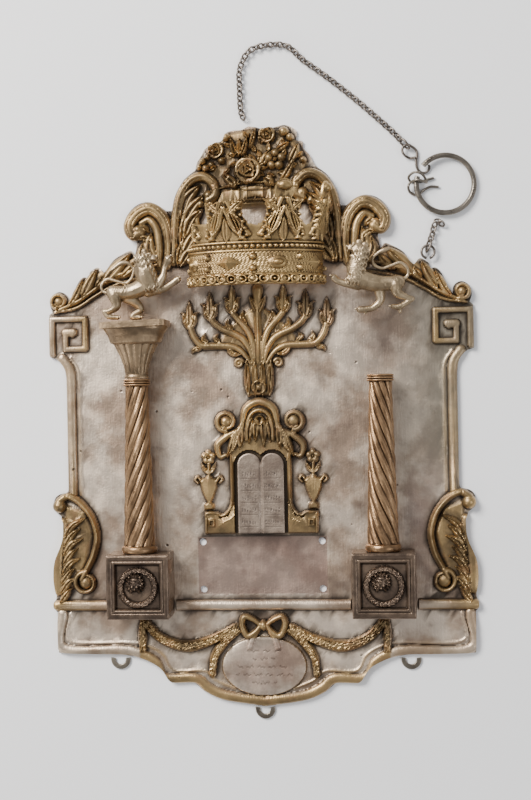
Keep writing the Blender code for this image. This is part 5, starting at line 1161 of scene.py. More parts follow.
# The plate.
def plate_relief():
    """The whole carving on one grid, with the outline's inside distance."""
    outline = plate_outline()
    low, high = outline.min(axis=0) - 2, outline.max(axis=0) + 2
    r = Relief(low, high, PLATE_GRID)
    carve_border(r)
    carve_rail(r)
    carve_tree(r)
    carve_ark(r)
    carve_garlands(r)
    for flip in (1, -1):
        carve_side_scroll(r, flip)
        carve_corner_crest(r, flip)
        carve_ear_scroll(r, flip)
        carve_inner_scroll(r, flip)
    carve_basket(r)
    return r, inside_distance(r.x, r.y, outline)


def worn_ground(r):
    """Low dents in the sheet."""
    dents = 0.05 * np.sin(0.21 * r.x + 0.6 * np.sin(0.13 * r.y)) * np.sin(0.17 * r.y + 0.9)
    return dents + 0.03 * np.sin(0.53 * r.x - 0.31 * r.y + 1.3)


def cartouche_strokes(r):
    """Rows of small strokes in the oval: marks only, not letters."""
    win = r.window(-24, -172, 24, -143)
    x, y = r.x[win], r.y[win]
    cut = np.zeros(x.shape)
    for row, half in enumerate((11, 7, 17, 18, 8)):
        wave = y - (-147.6 - 5 * row) - 0.8 * np.sin(2.1 * x + row) * np.sin(0.7 * x + 2 * row)
        line = np.exp(-((wave / 0.38) ** 2)) * (np.abs(x) < half) * (np.sin(0.9 * x + 1.7 * row) > -0.6)
        cut = np.maximum(cut, line)
    r.h[win] -= 0.16 * cut
    return win, cut


def build_plate():
    unit_x, unit_y = drawing_units()
    r, inside = plate_relief()
    ornament = softened(np.clip(r.h / 0.5, 0, 1), 2)
    ground = softened(r.h, 14)
    _, script = cartouche_strokes(r)
    script_win = r.window(-24, -172, 24, -143)
    r.h += worn_ground(r) * np.clip(1 - ornament, 0, 1)
    fine_lines(r)
    flatten_seats(r)
    ark_shadow_win, ark_shadow = shadow_under_ark(r)
    half, top = 0.5 * SEAT_WIDTH / unit_x, SEAT_TOP_Y / unit_y
    seat = r.window(-half, top - SEAT_HEIGHT / unit_y, half, top)
    r.h[seat] = -SEAT_DEPTH / RELIEF + 0.1 * worn_ground(r)[seat]
    inset = RIVET_INSET / unit_x
    for x in (-half + inset, half - inset):
        for y in (top - inset, top - SEAT_HEIGHT / unit_y + inset):
            inside = np.minimum(inside, np.hypot(r.x - x, r.y - y) - 0.5 * RIVET_HOLE / unit_x)
    front = SHEET + RELIEF * r.h
    back = np.clip(0.75 * RELIEF * (softened(np.maximum(r.h, 0), 10) - 0.25), 0, 0.0052)
    back = np.where(inside < 2.5, 0, back)
    points, faces = clipped_solid(r, inside, front, back)
    mesh = thinned("plate", points * (unit_x, unit_y, 1), faces, PLATE_FACES)
    low, high = np.array(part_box("plate"))
    at = points_of(mesh)
    x, y = at[:, 0] / unit_x, at[:, 1] / unit_y
    # Painted shade: darker in the relief's hollows and on the ground at the foot of the ornament.
    hollow = np.clip((softened(r.h, 6) - r.h - 0.12) / 0.9, 0, 1)
    near = np.clip((ground - r.h) / 1.2, 0, 1)
    deep = sampled(r, np.clip(0.85 * hollow + 0.45 * near, 0, 0.92), x, y)
    gilt = sampled(r, gilding(r, ornament), x, y)
    # The cartouche's strokes are real marks; the line and discs under the ark are a painted shadow.
    dark_marks = np.zeros(r.h.shape)
    dark_marks[script_win] = script
    dark_marks[ark_shadow_win] = np.maximum(dark_marks[ark_shadow_win], 1.2 * ark_shadow)
    tint(mesh, "deep", np.maximum(deep, 0.75 * sampled(r, dark_marks, x, y)))
    tint(mesh, "gilt", gilt)
    tint(mesh, "stain", stains(x, y))
    seat_share = (np.abs(x) < half) & (y < top) & (y > top - SEAT_HEIGHT / unit_y)
    oval = np.clip(1.4 * (1 - np.hypot(x / 25.5, (y + 157.2) / 17.5)) * 6, 0, 1)
    tint(mesh, "rosy", np.maximum(0.75 * seat_share, 0.45 * oval))
    # Painted reflection: greyer towards the right side, from a little below the middle upwards.
    tint(mesh, "painted_reflection_grey", np.clip((x - 70) / 45, 0, 1) * np.clip((y + 60) / 40, 0, 1))
    return dressed("plate", mesh, plate_finish())


def gilding(r, ornament):
    """Where the gilding is: on the ornament, thin on the border, and not on the rail or the oval."""
    gilt = ornament.copy()
    oval = np.hypot(r.x / 27, (r.y + 157.2) / 19) < 0.97
    gilt[oval] = 0
    rail = np.abs(r.y - RAIL_Y / drawing_units()[1]) < 4.6
    gilt[rail & (np.abs(r.x) < 104)] *= 0.25
    foot = (r.y < -122) & (np.abs(r.x) > 79)
    gilt[foot] *= 0.35
    waist = (np.abs(r.x) > 113) & (r.y > -47) & (r.y < 68)
    gilt[waist] *= 0.6
    return gilt


def grooves(r, points, offset, width, depth):
    """Two fine lines cut beside a ridge's top."""
    line = spline(points)
    reach = offset + 3 * width
    win = r.window(*(line.min(axis=0) - reach), *(line.max(axis=0) + reach))
    far, _ = nearest(r.x[win], r.y[win], line)
    r.h[win] -= depth * np.exp(-(((far - offset) / width) ** 2)) * (r.h[win] > 1.2)


def fine_lines(r):
    """Lines along the scrolls, the basket's weave and its rope."""
    for flip in (1, -1):
        ear = [(57, 96), (55.6, 110), (58, 124), (66, 132.4), (75, 130), (80.4, 122.6), (78.8, 116)]
        inner = [(53, 98), (52, 112), (50.4, 128), (47.4, 140), (41, 149), (33, 151.6), (26.4, 147)]
        side = [(124, -49), (116, -53), (108.8, -62), (105.4, -74), (107.6, -86), (112, -95)]
        for path, offset in ((ear, 1.5), (inner, 1.3), (side, 1.2)):
            grooves(r, [(flip * x, y) for x, y in path], offset, 0.34, 0.7)
    rope = r.window(-28, 128, 28, 150)
    x, y = r.x[rope], r.y[rope]
    twist = 0.35 * np.sin(3.4 * x + 2.4 * y)
    near = (np.abs(y - (136 - 0.0053 * x * x)) < 1.3) | (np.abs(y - (147 - 0.0064 * x * x)) < 1.1)
    r.h[rope] += near * twist
    course = np.abs((y - 0.006 * x * x) - 141.6) < 0.4
    r.h[rope] -= 0.5 * (course & (y > 137) & (y < 146) & (np.abs(x) < 23))


def shadow_under_ark(r):
    """A painted shadow: the dark line under the ark's bottom edge, with painted shade at the holes at its ends."""
    win = r.window(-44, -82, 44, -73)
    x, y = r.x[win], r.y[win]
    ark_shadow = (np.abs(x) < 38) & (np.abs(y + 75.3) < 0.7)
    hole = np.minimum(np.hypot(x - 38, y + 77), np.hypot(x + 38, y + 77)) < 2.4
    return win, np.where(ark_shadow | hole, 1.0, 0.0)


def stains(x, y):
    """Dark stains: under the right lion, beside the ark, at the seat's top and along the edges."""
    total = np.zeros(x.shape)
    for cx, cy, rx, ry, share in (
        (77, 44, 17, 20, 0.75),
        (75, 62, 22, 8, 0.5),
        (48, 72, 16, 12, 0.45),
        (-44, 74, 16, 10, 0.4),
        (0, -77, 42, 3, 0.9),
        (-48, 40, 8, 26, 0.3),
        (45, -2, 14, 20, 0.3),
        (-98, -96, 10, 18, 0.35),
        (98, -80, 8, 22, 0.45),
        (0, -113, 40, 5, 0.4),
    ):
        total = np.maximum(total, share * np.exp(-(((x - cx) / rx) ** 2) - ((y - cy) / ry) ** 2))
    return total


def build_tablets():
    """Two round-topped tablets with five groups of short strokes on each."""
    r = Relief((-16, 0), (16, 54), 0.2)
    half, tall = 500 * TABLETS_WIDTH, 1000 * TABLETS_HEIGHT
    quarter = 0.5 * half
    across = np.abs(np.abs(r.x) - quarter)
    over = r.y - (tall - quarter)
    inside = np.where(over > 0, quarter - np.hypot(across, over), np.minimum(quarter - across, r.y - 0.4))
    low_part = np.minimum(half - np.abs(r.x), r.y - 0.4)
    inside = np.maximum(inside, np.where(r.y < tall - quarter, low_part, -1))
    valley = 0.7 * np.exp(-((r.x / 0.9) ** 2)) + 0.25 * np.clip(1 - inside / 0.7, 0, 1)
    groups = np.zeros(r.x.shape)
    for group in range(5):
        base = 4.4 + 7.6 * group
        rule = np.exp(-(((r.y - base) / 0.2) ** 2)) * (across < 5.4)
        rows = np.exp(-(((r.y - base - 2.9) / 1.5) ** 4))
        bars = (np.sin(5.1 * r.x + 1.9 * np.sin(1.3 * r.x + group)) > 0.15) * (np.sin(2.3 * r.y * (1 + 0.02 * r.x)) > -0.5)
        groups = np.maximum(groups, np.maximum(0.8 * rule, rows * bars * (across < 4.8)))
    top = 1000 * TABLETS_THICKNESS - valley - 0.14 * softened(groups, 1)
    points, faces = clipped_solid(r, inside, top, np.zeros(r.h.shape))
    mesh = thinned("tablets", points, faces, 60000)
    at = points_of(mesh)
    tint(mesh, "dark_marks", sampled(r, groups, at[:, 0], at[:, 1]) * (at[:, 2] > 1))
    mesh.transform(Matrix.Translation((0, TABLETS_BOTTOM_Y, SHEET + CLEARANCE)) @ Matrix.Diagonal((0.001, 0.001, 0.001, 1)))
    mat, tree, coords = new_material("tablet_metal")
    colour = blend(tree, noise(tree, coords, 90, 0.4, 0.64), (0.32, 0.25, 0.195), (0.18, 0.135, 0.105))
    colour = blend(tree, times(tree, mask(tree, "dark_marks"), 0.75), colour, (0.10, 0.08, 0.07))
    rough = ramp(tree, noise(tree, coords, 100, 0.3, 0.7), 0, 1, 0.4, 0.55)
    grain = noise(tree, coords, 800, 0.3, 0.7, 3)
    return dressed("tablets", mesh, finished(mat, tree, colour, rough, 0.85, [(grain, 0.00005)]))


# The crown.
def detail_crown(r):
    """Rosettes round the foot and veined fronds."""
    for k in range(-9, 10):
        cx = 5.4 * k
        r.ring(cx, 3.9, 2.1, 0.7, 2.3)
        r.ball(cx, 3.9, 0.9, 2.3)
    for angle in fleuron_angles():
        cx = drawn_x(angle)
        for flip in (1, -1):
            for j in range(5):
                x0, y0 = cx + flip * (1.6 + 1.5 * j), 29 + 0.4 * j
                r.stroke([(cx + flip * (9.5 - 0.6 * j), 28.2), (x0 + flip * 1.2, y0 + 7), (cx + flip * (0.7 + 1.1 * j), 48 - 1.2 * j)], [0.55, 0.5], [2.4, 2.2])
            for j in range(6):
                bx, by = cx + flip * (6.4 + 0.9 * j), 50.5 - 4 * j
                r.ball(bx, by, 1.25, 2.6)
                r.ball(bx - flip * 1.6, by - 1.2, 0.9, 2.2)


def build_crown():
    r = Relief((-CROWN_DRAWN_HALF, 0), (CROWN_DRAWN_HALF, 66), CROWN_GRID)
    inside, pierced = crown_mask(r)
    carve_crown(r)
    detail_crown(r)
    band = (r.y > 7) & (r.y < 20.6) & (r.h < 0.4)
    r.h += band * 0.25 * (np.sin(3.1 * r.x + 2 * np.sin(1.7 * r.y)) * np.sin(2.9 * r.y))
    front = 1000 * CROWN_WALL + 1000 * CROWN_RELIEF * r.h
    points, faces = clipped_solid(r, np.minimum(inside, pierced), front, np.zeros(r.h.shape))
    theta = points[:, 0] / CROWN_DRAWN_HALF * math.radians(CROWN_HALF_TURN_DEG)
    above = points[:, 1] - CROWN_DRAWN_BAND
    up = np.where(above < 0, points[:, 1] * CROWN_BAND / CROWN_DRAWN_BAND, CROWN_BAND + above * FLEURON_HEIGHT / CROWN_DRAWN_FLEURON)
    share = np.clip((up - 0.8 * CROWN_BAND) / FLEURON_HEIGHT, 0, 1)
    out = 0.001 * points[:, 2] + CROWN_FLARE * share**1.5
    x = (CROWN_HALF_WIDTH - CROWN_WALL + out) * np.sin(theta)
    z = (CROWN_BULGE + out) * np.cos(theta)
    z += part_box("crown")[0][2] - z.min()
    mesh = thinned("crown", np.column_stack([x, CROWN_BOTTOM_Y + up, z]), faces, CROWN_FACES)
    finish = aged_and_shaded("crown_metal", (0.40, 0.27, 0.12), (0.19, 0.12, 0.055), (0.025, 0.017, 0.01), 0.44, 0.56)
    return dressed("crown", mesh, finish)


# The lions.
def mane(head, chest, width):
    """Wavy locks that fall side by side from the head over the chest."""
    locks = []
    for row in range(6):
        for col in range(9):
            s, t = row / 5, (col - 4) / 4
            x0 = head[0] + (chest[0] - head[0]) * s + width * t * (0.8 + 0.2 * s)
            y0 = head[1] + (chest[1] - head[1]) * s + 0.02 * (col % 2)
            z0 = 0.16 - 0.06 * t * t - 0.02 * s
            locks.append([(x0, y0 + 0.055, z0 - 0.01, 0.012), (x0 + 0.014, y0 + 0.02, z0 + 0.006, 0.0145),
                          (x0 - 0.006, y0 - 0.02, z0 + 0.003, 0.013), (x0 + 0.01, y0 - 0.06, z0 - 0.012, 0.006)])
    return locks


def ribs(x, y):
    return [[(x - 0.045 * k, y + 0.06, 0.082, 0.008), (x - 0.045 * k - 0.02, y, 0.098, 0.010), (x - 0.045 * k - 0.05, y - 0.05, 0.085, 0.007)] for k in range(5)]


def claws(feet):
    """Three toes on each foot."""
    toes = []
    for x, y, z in feet:
        for k in (-1, 0, 1):
            toes.append(((x + 0.02 * k, y + 0.006 * k, z + 0.022 * k), (0.022, 0.015, 0.016)))
    return toes


def face(x, y, flip=1):
    """Brow, eye, nose, cheeks and teeth of a beast's head in profile, round the muzzle's place."""
    return [
        ((x + 0.055, y + 0.018, 0.075), (0.022, 0.018, 0.026)),
        ((x - 0.045, y + 0.045, 0.115), (0.032, 0.014, 0.020)),
        ((x - 0.03, y + 0.02, 0.120), (0.014, 0.011, 0.012)),
        ((x + 0.01, y - 0.025, 0.105), (0.035, 0.016, 0.018)),
        ((x - 0.055, y - 0.055, 0.115), (0.035, 0.035, 0.020)),
        ((x + 0.045, y - 0.045, 0.09), (0.008, 0.014, 0.008)),
    ]


def build_lion(node_name, paths, balls, flip):
    mesh = swept(node_name, paths, balls, LION_VOXEL, LION_FACES)
    low, high = np.array(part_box(node_name))
    points = points_of(mesh) * (flip, 1, 1)
    span = points.max(axis=0) - points.min(axis=0)
    points = (points - points.min(axis=0)) / span * (high - low) + low
    mesh.vertices.foreach_set("co", np.ascontiguousarray(points, np.float32).ravel())
    if flip < 0:
        mesh.flip_normals()
    finish = bpy.data.materials.get("lion_metal") or aged_and_shaded("lion_metal", (0.44, 0.335, 0.21), (0.22, 0.16, 0.095), (0.03, 0.024, 0.018), 0.42, 0.58)
    return dressed(node_name, mesh, finish)


def build_lions():
    paths = lion_limbs() + mane((0.53, 0.80), (0.64, 0.42), 0.12) + ribs(0.46, 0.38)
    balls = lion_masses() + face(0.69, 0.83) + claws([(1.03, 0.55, 0.03), (0.93, 0.84, 0.09), (0.19, 0.03, 0.05), (0.49, 0.03, 0)])
    build_lion("lion_left", paths, balls, 1)
    paths = worn_lion_limbs() + mane((0.63, 0.82), (0.75, 0.44), 0.10) + ribs(0.56, 0.40)
    balls = worn_lion_masses() + face(0.79, 0.89) + claws([(1.05, 0.52, 0.03), (0.26, 0.09, 0.05), (0.72, 0.065, 0)])
    build_lion("lion_right", paths, balls, -1)


# The columns, pedestals and capital.
def build_column(node_name, side, finish):
    """Twisted strands between a foot ring and a neck of fine rings."""
    ring = COLUMN_RING_HEIGHT
    foot = PEDESTAL_BOTTOM_Y + PEDESTAL_HEIGHT + CLEARANCE
    top = foot + COLUMN_LENGTH
    low, high = foot + ring + 0.0004, top - ring - 0.0004
    rows = [foot, *np.linspace(foot + 0.0002, foot + ring, 16), *np.linspace(low, high, 200), *np.linspace(top - ring, top - 0.0002, 18), top]
    strands = 9

    def turn_at(y):
        return side * 2 * math.pi * 1.0 * (y - foot) / COLUMN_LENGTH

    def radius_at(y, angles):
        share = (y - foot) / COLUMN_LENGTH
        base = COLUMN_FOOT_RADIUS + (COLUMN_TOP_RADIUS - COLUMN_FOOT_RADIUS) * share
        if y <= foot + ring:
            bead = abs(math.sin(math.pi * (y - foot) / ring)) ** 0.5
            return np.full(len(angles), 0.9 * COLUMN_RING_RADIUS + 0.1 * COLUMN_RING_RADIUS * bead)
        if y >= top - ring:
            bead = abs(math.sin(3 * math.pi * (top - y) / ring)) ** 0.6
            return np.full(len(angles), base + 0.0004 + 0.0012 * bead)
        phase = (strands * (angles + turn_at(y)) / (2 * math.pi)) % 1
        lobe = np.sqrt(np.clip(1 - (2 * phase - 1) ** 2, 0, 1))
        thread = 0.00022 * np.exp(-(((phase - 0.5) / 0.07) ** 2))
        return base - STRAND_RELIEF * 1.25 * (1 - lobe) + thread

    matrix = Matrix.Translation((side * 0.5 * COLUMN_SPACING, 0, SHEET + CLEARANCE + COLUMN_RING_RADIUS))
    mesh = turned_solid(node_name, rows, radius_at, 112, matrix, turn_at)
    return dressed(node_name, mesh, finish)


def build_pedestal(node_name, side, finish):
    """A box with bulging flanks, a stepped frame, a leafy wreath and a small beast's mask."""
    half, tall, deep = 500 * PEDESTAL_WIDTH, 1000 * PEDESTAL_HEIGHT, 1000 * PEDESTAL_DEPTH
    r = Relief((-half - 1, -0.5 * tall - 1), (half + 1, 0.5 * tall + 1), PEDESTAL_GRID)
    bulge = 0.6 * (1 - (r.y / (0.5 * tall)) ** 2)
    inside = np.minimum(half - 0.6 + bulge - np.abs(r.x), 0.5 * tall - np.abs(r.y))
    panel = 500 * PEDESTAL_PANEL - np.maximum(np.abs(r.x), np.abs(r.y))
    hollow = 2.2 * np.clip(panel / 1.2, 0, 1) + 0.5 * np.exp(-(((panel + 1.6) / 0.4) ** 2))
    wreath(r)
    mask_boss(r)
    edge = 1.0 * np.clip(1 - np.minimum(half - np.abs(r.x), 0.5 * tall - np.abs(r.y)) / 1.6, 0, 1) ** 2
    top = deep - 1.2 - hollow + r.h * 0.9 - edge
    points, faces = clipped_solid(r, inside, top, np.zeros(r.h.shape))
    centre_y = PEDESTAL_BOTTOM_Y + 0.5 * PEDESTAL_HEIGHT
    points = points * 0.001 + (side * 0.5 * COLUMN_SPACING, centre_y, SHEET + CLEARANCE)
    return dressed(node_name, thinned(node_name, points, faces, PEDESTAL_FACES), finish)


def wreath(r):
    """Overlapping leaves round a circle."""
    radius = 1000 * WREATH_RADIUS
    for k in range(28):
        a = 2 * math.pi * k / 28
        for lean, reach in ((0.34, radius + 1.7), (0.30, radius - 1.4), (0.36, radius + 0.2)):
            base = (radius * math.cos(a), -0.4 + radius * math.sin(a))
            tip = (reach * math.cos(a + lean), -0.4 + reach * math.sin(a + lean))
            middle = (0.5 * (base[0] + tip[0]), 0.5 * (base[1] + tip[1]))
            r.leaf([base, middle, tip], 1.05, 2.3)


def mask_boss(r):
    """A small beast's mask: brow, cheeks, muzzle, ears and a ruff of hair."""
    cx, cy = -1.6, 2.2
    for k in range(15):
        a = math.radians(-60 + 300 * k / 14)
        tip = (cx + 6.2 * math.cos(a), cy + 6.8 * math.sin(a))
        r.leaf([(cx + 3 * math.cos(a), cy + 3.4 * math.sin(a)), (cx + 4.8 * math.cos(a), cy + 5.2 * math.sin(a)), tip], 1.1, 2.7)
    r.ball(cx, cy, 4, 3.6, 5)
    r.ball(cx, cy + 2.6, 3, 4.3, 1.5)
    r.ball(cx, cy + 0.2, 1, 4.6, 2.4)
    for flip in (1, -1):
        r.ball(cx + flip * 2.1, cy + 0.5, 0.8, 4.1, 0.6)
        r.ball(cx + flip * 1.5, cy - 1.9, 1.4, 4.4, 1.1)
        r.ball(cx + flip * 3.4, cy + 4, 1.1, 3.6)
    r.ball(cx, cy - 3.6, 1.2, 3.9, 0.9)


def build_capital(finish):
    """A fluted bell, a bowl of broad leaves and a bevelled slab."""
    foot = PEDESTAL_BOTTOM_Y + PEDESTAL_HEIGHT + COLUMN_LENGTH + 2 * CLEARANCE
    bell_top = foot + CAPITAL_BELL
    bowl_top = bell_top + CAPITAL_BOWL
    heights = [0, 0.1, 0.4, 0.7, 1.0]
    shares = [0.36, 0.34, 0.40, 0.52, 0.68]
    rows = [*np.linspace(foot, bell_top, 60), *np.linspace(bell_top + 0.0001, bowl_top, 40)]

    def radius_at(y, angles):
        if y <= bell_top:
            share = (y - foot) / CAPITAL_BELL
            base = CAPITAL_RADIUS * np.interp(share, heights, shares)
            ring = 0.05 * max(math.sin(math.pi * share / 0.12), 0) if share < 0.12 else 0
            flute = np.abs(np.cos(7 * angles)) ** 0.5
            fade = np.clip((share - 0.12) / 0.1, 0, 1)
            return base * (1 + ring - 0.07 * fade * (1 - flute))
        share = (y - bell_top) / CAPITAL_BOWL
        base = CAPITAL_RADIUS * np.interp(share, (0, 0.12, 0.5, 0.85, 1), (0.70, 0.82, 0.88, 0.99, 1.0))
        return base * (1 - 0.05 * np.abs(np.cos(3 * angles + 0.6 * share)) * (1 - share))

    axis = Matrix.Translation((-0.5 * COLUMN_SPACING, 0, SHEET + CLEARANCE + COLUMN_RING_RADIUS))
    mesh = turned_solid("capital_left", rows, radius_at, 140, axis @ Matrix.Diagonal((1, 1, 0.66, 1)))
    bm = bmesh.new()
    bm.from_mesh(mesh)
    back = SHEET + CLEARANCE
    for v in bm.verts:
        v.co.z = max(v.co.z, back)
    half = 0.5 * ABACUS_WIDTH
    made = bmesh.ops.create_cube(bm, size=1)["verts"]
    bevelled = bmesh.ops.bevel(bm, geom=list({e for v in made for e in v.link_edges}), offset=0.06, segments=3, affect="EDGES")
    slab = [v for v in bm.verts if v in set(bevelled["verts"]) or v.is_valid and v in made]
    dip = half * math.sin(math.radians(ABACUS_TILT_DEG)) + CLEARANCE
    turn = Matrix.Rotation(math.radians(ABACUS_TILT_DEG), 4, "Z")
    for v in slab:
        x, y, z = v.co.x * ABACUS_WIDTH, (v.co.y + 0.5) * ABACUS_THICKNESS, back + (v.co.z + 0.5) * ABACUS_DEPTH
        v.co = Matrix.Translation((-0.5 * COLUMN_SPACING, bowl_top - dip, 0)) @ turn @ Vector((x, y, z))
    bm.to_mesh(mesh)
    bm.free()
    return dressed("capital_left", mesh, finish)


# The washers, chain, hooks and ring.
def build_washer(node_name, finish):
    """A washer with a rounded rim."""
    low, high = np.array(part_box(node_name))
    cx, cy = 0.5 * (low[0] + high[0]), low[1] + 0.5 * WASHER_OUTER
    middle = 0.25 * (WASHER_OUTER + WASHER_BORE)
    half = 0.25 * (WASHER_OUTER - WASHER_BORE)
    profile = []
    for k in range(12):
        a = 2 * math.pi * (k + 0.5) / 12
        profile.append((half * abs(math.cos(a)) ** 0.4 * math.copysign(1, math.cos(a)), abs(math.sin(a)) ** 0.4 * math.copysign(0.5, math.sin(a))))
    bm = bmesh.new()
    start = math.asin(min(1.0, (high[1] - cy) / (0.5 * WASHER_OUTER)))
    turns = np.linspace(math.pi - start, 2 * math.pi + start, 60)
    rings = []
    for t in turns:
        ring = [bm.verts.new((cx + (middle + u) * math.cos(t), cy + (middle + u) * math.sin(t), (0.5 + v) * WASHER_THICKNESS)) for u, v in profile]
        rings.append(ring)
    for first, second in zip(rings, rings[1:]):
        for k in range(12):
            bm.faces.new((first[k], second[k], second[(k + 1) % 12], first[(k + 1) % 12]))
    bm.faces.new(rings[0])
    bm.faces.new(rings[-1][::-1])
    bmesh.ops.recalc_face_normals(bm, faces=bm.faces)
    mesh = bpy.data.meshes.new(node_name)
    bm.to_mesh(mesh)
    bm.free()
    return dressed(node_name, mesh, finish)


def fine_link(bm, centre, along, tilt, length, width, wire):
    """An oval link of round wire, twisted a little so that it lies flat in the chain."""
    around, across = 20, 8
    turn = Matrix.Translation(centre) @ Matrix.Rotation(math.atan2(along[1], along[0]), 4, "Z") @ Matrix.Rotation(tilt, 4, "X")
    rows = []
    for i in range(around):
        a = 2 * math.pi * i / around
        mid = Vector((0.5 * (length - wire) * math.cos(a), 0.5 * (width - wire) * math.sin(a), 0.00022 * math.sin(2 * a)))
        out = Vector((math.cos(a), math.sin(a), 0))
        ring = []
        for j in range(across):
            b = 2 * math.pi * j / across
            ring.append(bm.verts.new(turn @ (mid + 0.5 * wire * (out * math.cos(b) + Vector((0, 0, math.sin(b)))))))
        rows.append(ring)
    for i in range(around):
        for j in range(across):
            k, m = (i + 1) % around, (j + 1) % across
            bm.faces.new((rows[i][j], rows[k][j], rows[k][m], rows[i][m]))


def build_chain(node_name, route, finish, big_first=None, big_last=None):
    steps = np.concatenate([[0], np.cumsum(np.hypot(*np.diff(route, axis=0).T))])
    count = round(steps[-1] / (LINK_LENGTH - 2 * LINK_WIRE + LINK_BITE))
    bm = bmesh.new()
    for k in range(count):
        at = (k + 0.5) / count * steps[-1]
        here = [np.interp(at, steps, route[:, i]) for i in (0, 1)]
        ahead = [np.interp(at + 0.001, steps, route[:, i]) for i in (0, 1)]
        along = (ahead[0] - here[0], ahead[1] - here[1])
        tilt = math.radians(34 if k % 2 else -30)
        fine_link(bm, (*here, 0.5 * LINK_WIRE + 0.36 * LINK_WIDTH), along, tilt, LINK_LENGTH, LINK_WIDTH, LINK_WIRE)
    for level, end in ((big_first, 0), (big_last, -1)):
        if level is None:
            continue
        outward = route[end] - route[1 if end == 0 else -2]
        outward = outward / np.hypot(*outward)
        middle = route[end] + outward * (0.5 * BIG_LINK_LENGTH - BIG_LINK_WIRE)
        fine_link(bm, (*middle, level), outward, math.radians(BIG_LINK_TILT_DEG), BIG_LINK_LENGTH, BIG_LINK_WIDTH, BIG_LINK_WIRE)
    mesh = bpy.data.meshes.new(node_name)
    bm.to_mesh(mesh)
    bm.free()
    return dressed(node_name, mesh, finish)


def build_wire(node_name, points, diameter, finish, smooth=True):
    """A round wire with capped ends, as a mesh."""
    line = spline(points, 8) if smooth else np.array(points)
    line[:, 2] = np.maximum(line[:, 2], 0.5 * diameter + FLOOR_GAP)
    data = bpy.data.curves.new(node_name, "CURVE")
    data.dimensions = "3D"
    data.bevel_depth = 0.5 * diameter
    data.bevel_resolution = 4
    data.use_fill_caps = True
    path = data.splines.new("POLY")
    path.points.add(len(line) - 1)
    for point, at in zip(path.points, line):
        point.co = (*at, 1)
    obj = bpy.data.objects.new(node_name + "_route", data)
    bpy.context.scene.collection.objects.link(obj)
    return dressed(node_name, applied(obj, keep=False), finish)


def ring_points():
    cx, cy = ring_centre()
    radius = 0.5 * (HANGING_RING - HANGING_WIRE)
    low = 0.5 * HANGING_WIRE + FLOOR_GAP
    points = []
    for a in np.radians(np.linspace(RING_ENDS_DEG[0], RING_ENDS_DEG[1], 90)):
        share = (0.5 - 0.5 * math.cos(a - math.radians(RING_RAISED_DEG))) ** 2
        points.append((cx + radius * math.cos(a), cy + radius * math.sin(a), ring_level() + (low - ring_level()) * share))
    return points


def from_ring(points):
    """Points drawn in millimetres from the middle of a ring of DRAWN_RING, with their height in metres."""
    cx, cy = ring_centre()
    unit = 0.001 * HANGING_RING / DRAWN_RING
    return [(cx + unit * x, cy + unit * y, z) for x, y, z in points]


def hook_points():
    flat = hook_level()
    lifted = lifted_level()
    over = ring_level() + 0.5 * HANGING_WIRE + 0.5 * HOOK_WIRE + 2 * CLEARANCE
    middle = 0.5 * (flat + over)
    s_hook = [(-18.2, 17.1, flat + HOOK_WIRE), (-21.5, 17.2, flat), (-24.6, 18.6, lifted),
              (-26.1, 21.4, lifted), (-25.3, 24.1, lifted), (-22.6, 25.2, lifted), (-19.9, 24.2, flat),
              (-17.4, 21.8, flat), (-17, 18.7, flat), (-17.6, 15, flat), (-17.1, 10.9, flat),
              (-14.8, 8.1, flat), (-11.7, 7.9, flat), (-9.6, 10.2, flat), (-9.8, 12.6, flat)]
    wire = [(-6.8, 4.3, flat), (-11.2, 3.3, flat), (-14.9, 2.2, flat), (-18.6, 2, flat), (-21.4, 2.7, flat),
            (-22.5, 4.8, middle), (-20.4, 6.9, 0.5 * (over + middle)), (-17.6, 7.3, over), (-14.2, 5.9, over),
            (-12, 3.3, middle), (-11.4, 1.2, middle), (-13.7, 1.6, over), (-17.7, 2.5, over),
            (-21.5, 1.3, middle), (-22.8, -1.1, middle), (-21.9, -3.9, flat), (-18.8, -5.8, flat),
            (-15.7, -5, flat), (-12.5, -2.6, flat), (-8.7, -1.1, flat), (-3.9, -1.4, flat)]
    return s_hook, wire


def build_metalwork():
    finish = aged_and_shaded("chain_metal", (0.16, 0.135, 0.115), (0.075, 0.06, 0.05), (0.01, 0.009, 0.008), 0.40, 0.60, (0.28, 0.42))
    ring_finish = aged_and_shaded("ring_metal", (0.19, 0.165, 0.135), (0.09, 0.075, 0.06), (0.012, 0.01, 0.009), 0.40, 0.60, (0.26, 0.40))
    washer_finish = aged_and_shaded("washer_metal", (0.22, 0.19, 0.15), (0.11, 0.09, 0.07), (0.014, 0.012, 0.01), 0.40, 0.60)
    build_chain("chain", chain_route(), finish, big_last=lifted_level())
    build_wire("hanging_ring", ring_points(), HANGING_WIRE, ring_finish, smooth=False)
    s_hook, wire = hook_points()
    build_wire("s_hook", from_ring(s_hook), HOOK_WIRE, finish)
    build_wire("wire_hook", from_ring(wire), HOOK_WIRE, ring_finish)
    x, y = eyelet_centre()
    radius = 0.5 * (EYELET_OUTER - HOOK_WIRE)
    level = lifted_level() + CLEARANCE
    points = [(x + radius * math.cos(a), y + radius * math.sin(a), level) for a in np.radians(np.linspace(-78, 258, 50))]
    build_wire("crest_eyelet", points, HOOK_WIRE, finish, smooth=False)
    start = (x + 0.0014, y + radius + 0.5 * HOOK_WIRE + 0.5 * (LINK_LENGTH - LINK_WIRE))
    route = [start, (start[0] + 0.0016, start[1] + 0.0046), (start[0] + 0.0028, start[1] + 0.0094),
             (start[0] + 0.005, start[1] + 0.0122), (start[0] + 0.0084, start[1] + 0.0096)]
    build_chain("chain_remnant", spline(route, 12), finish, big_first=level)
    for place_name in ("left", "middle", "right"):
        build_washer("bell_ring_" + place_name, washer_finish)


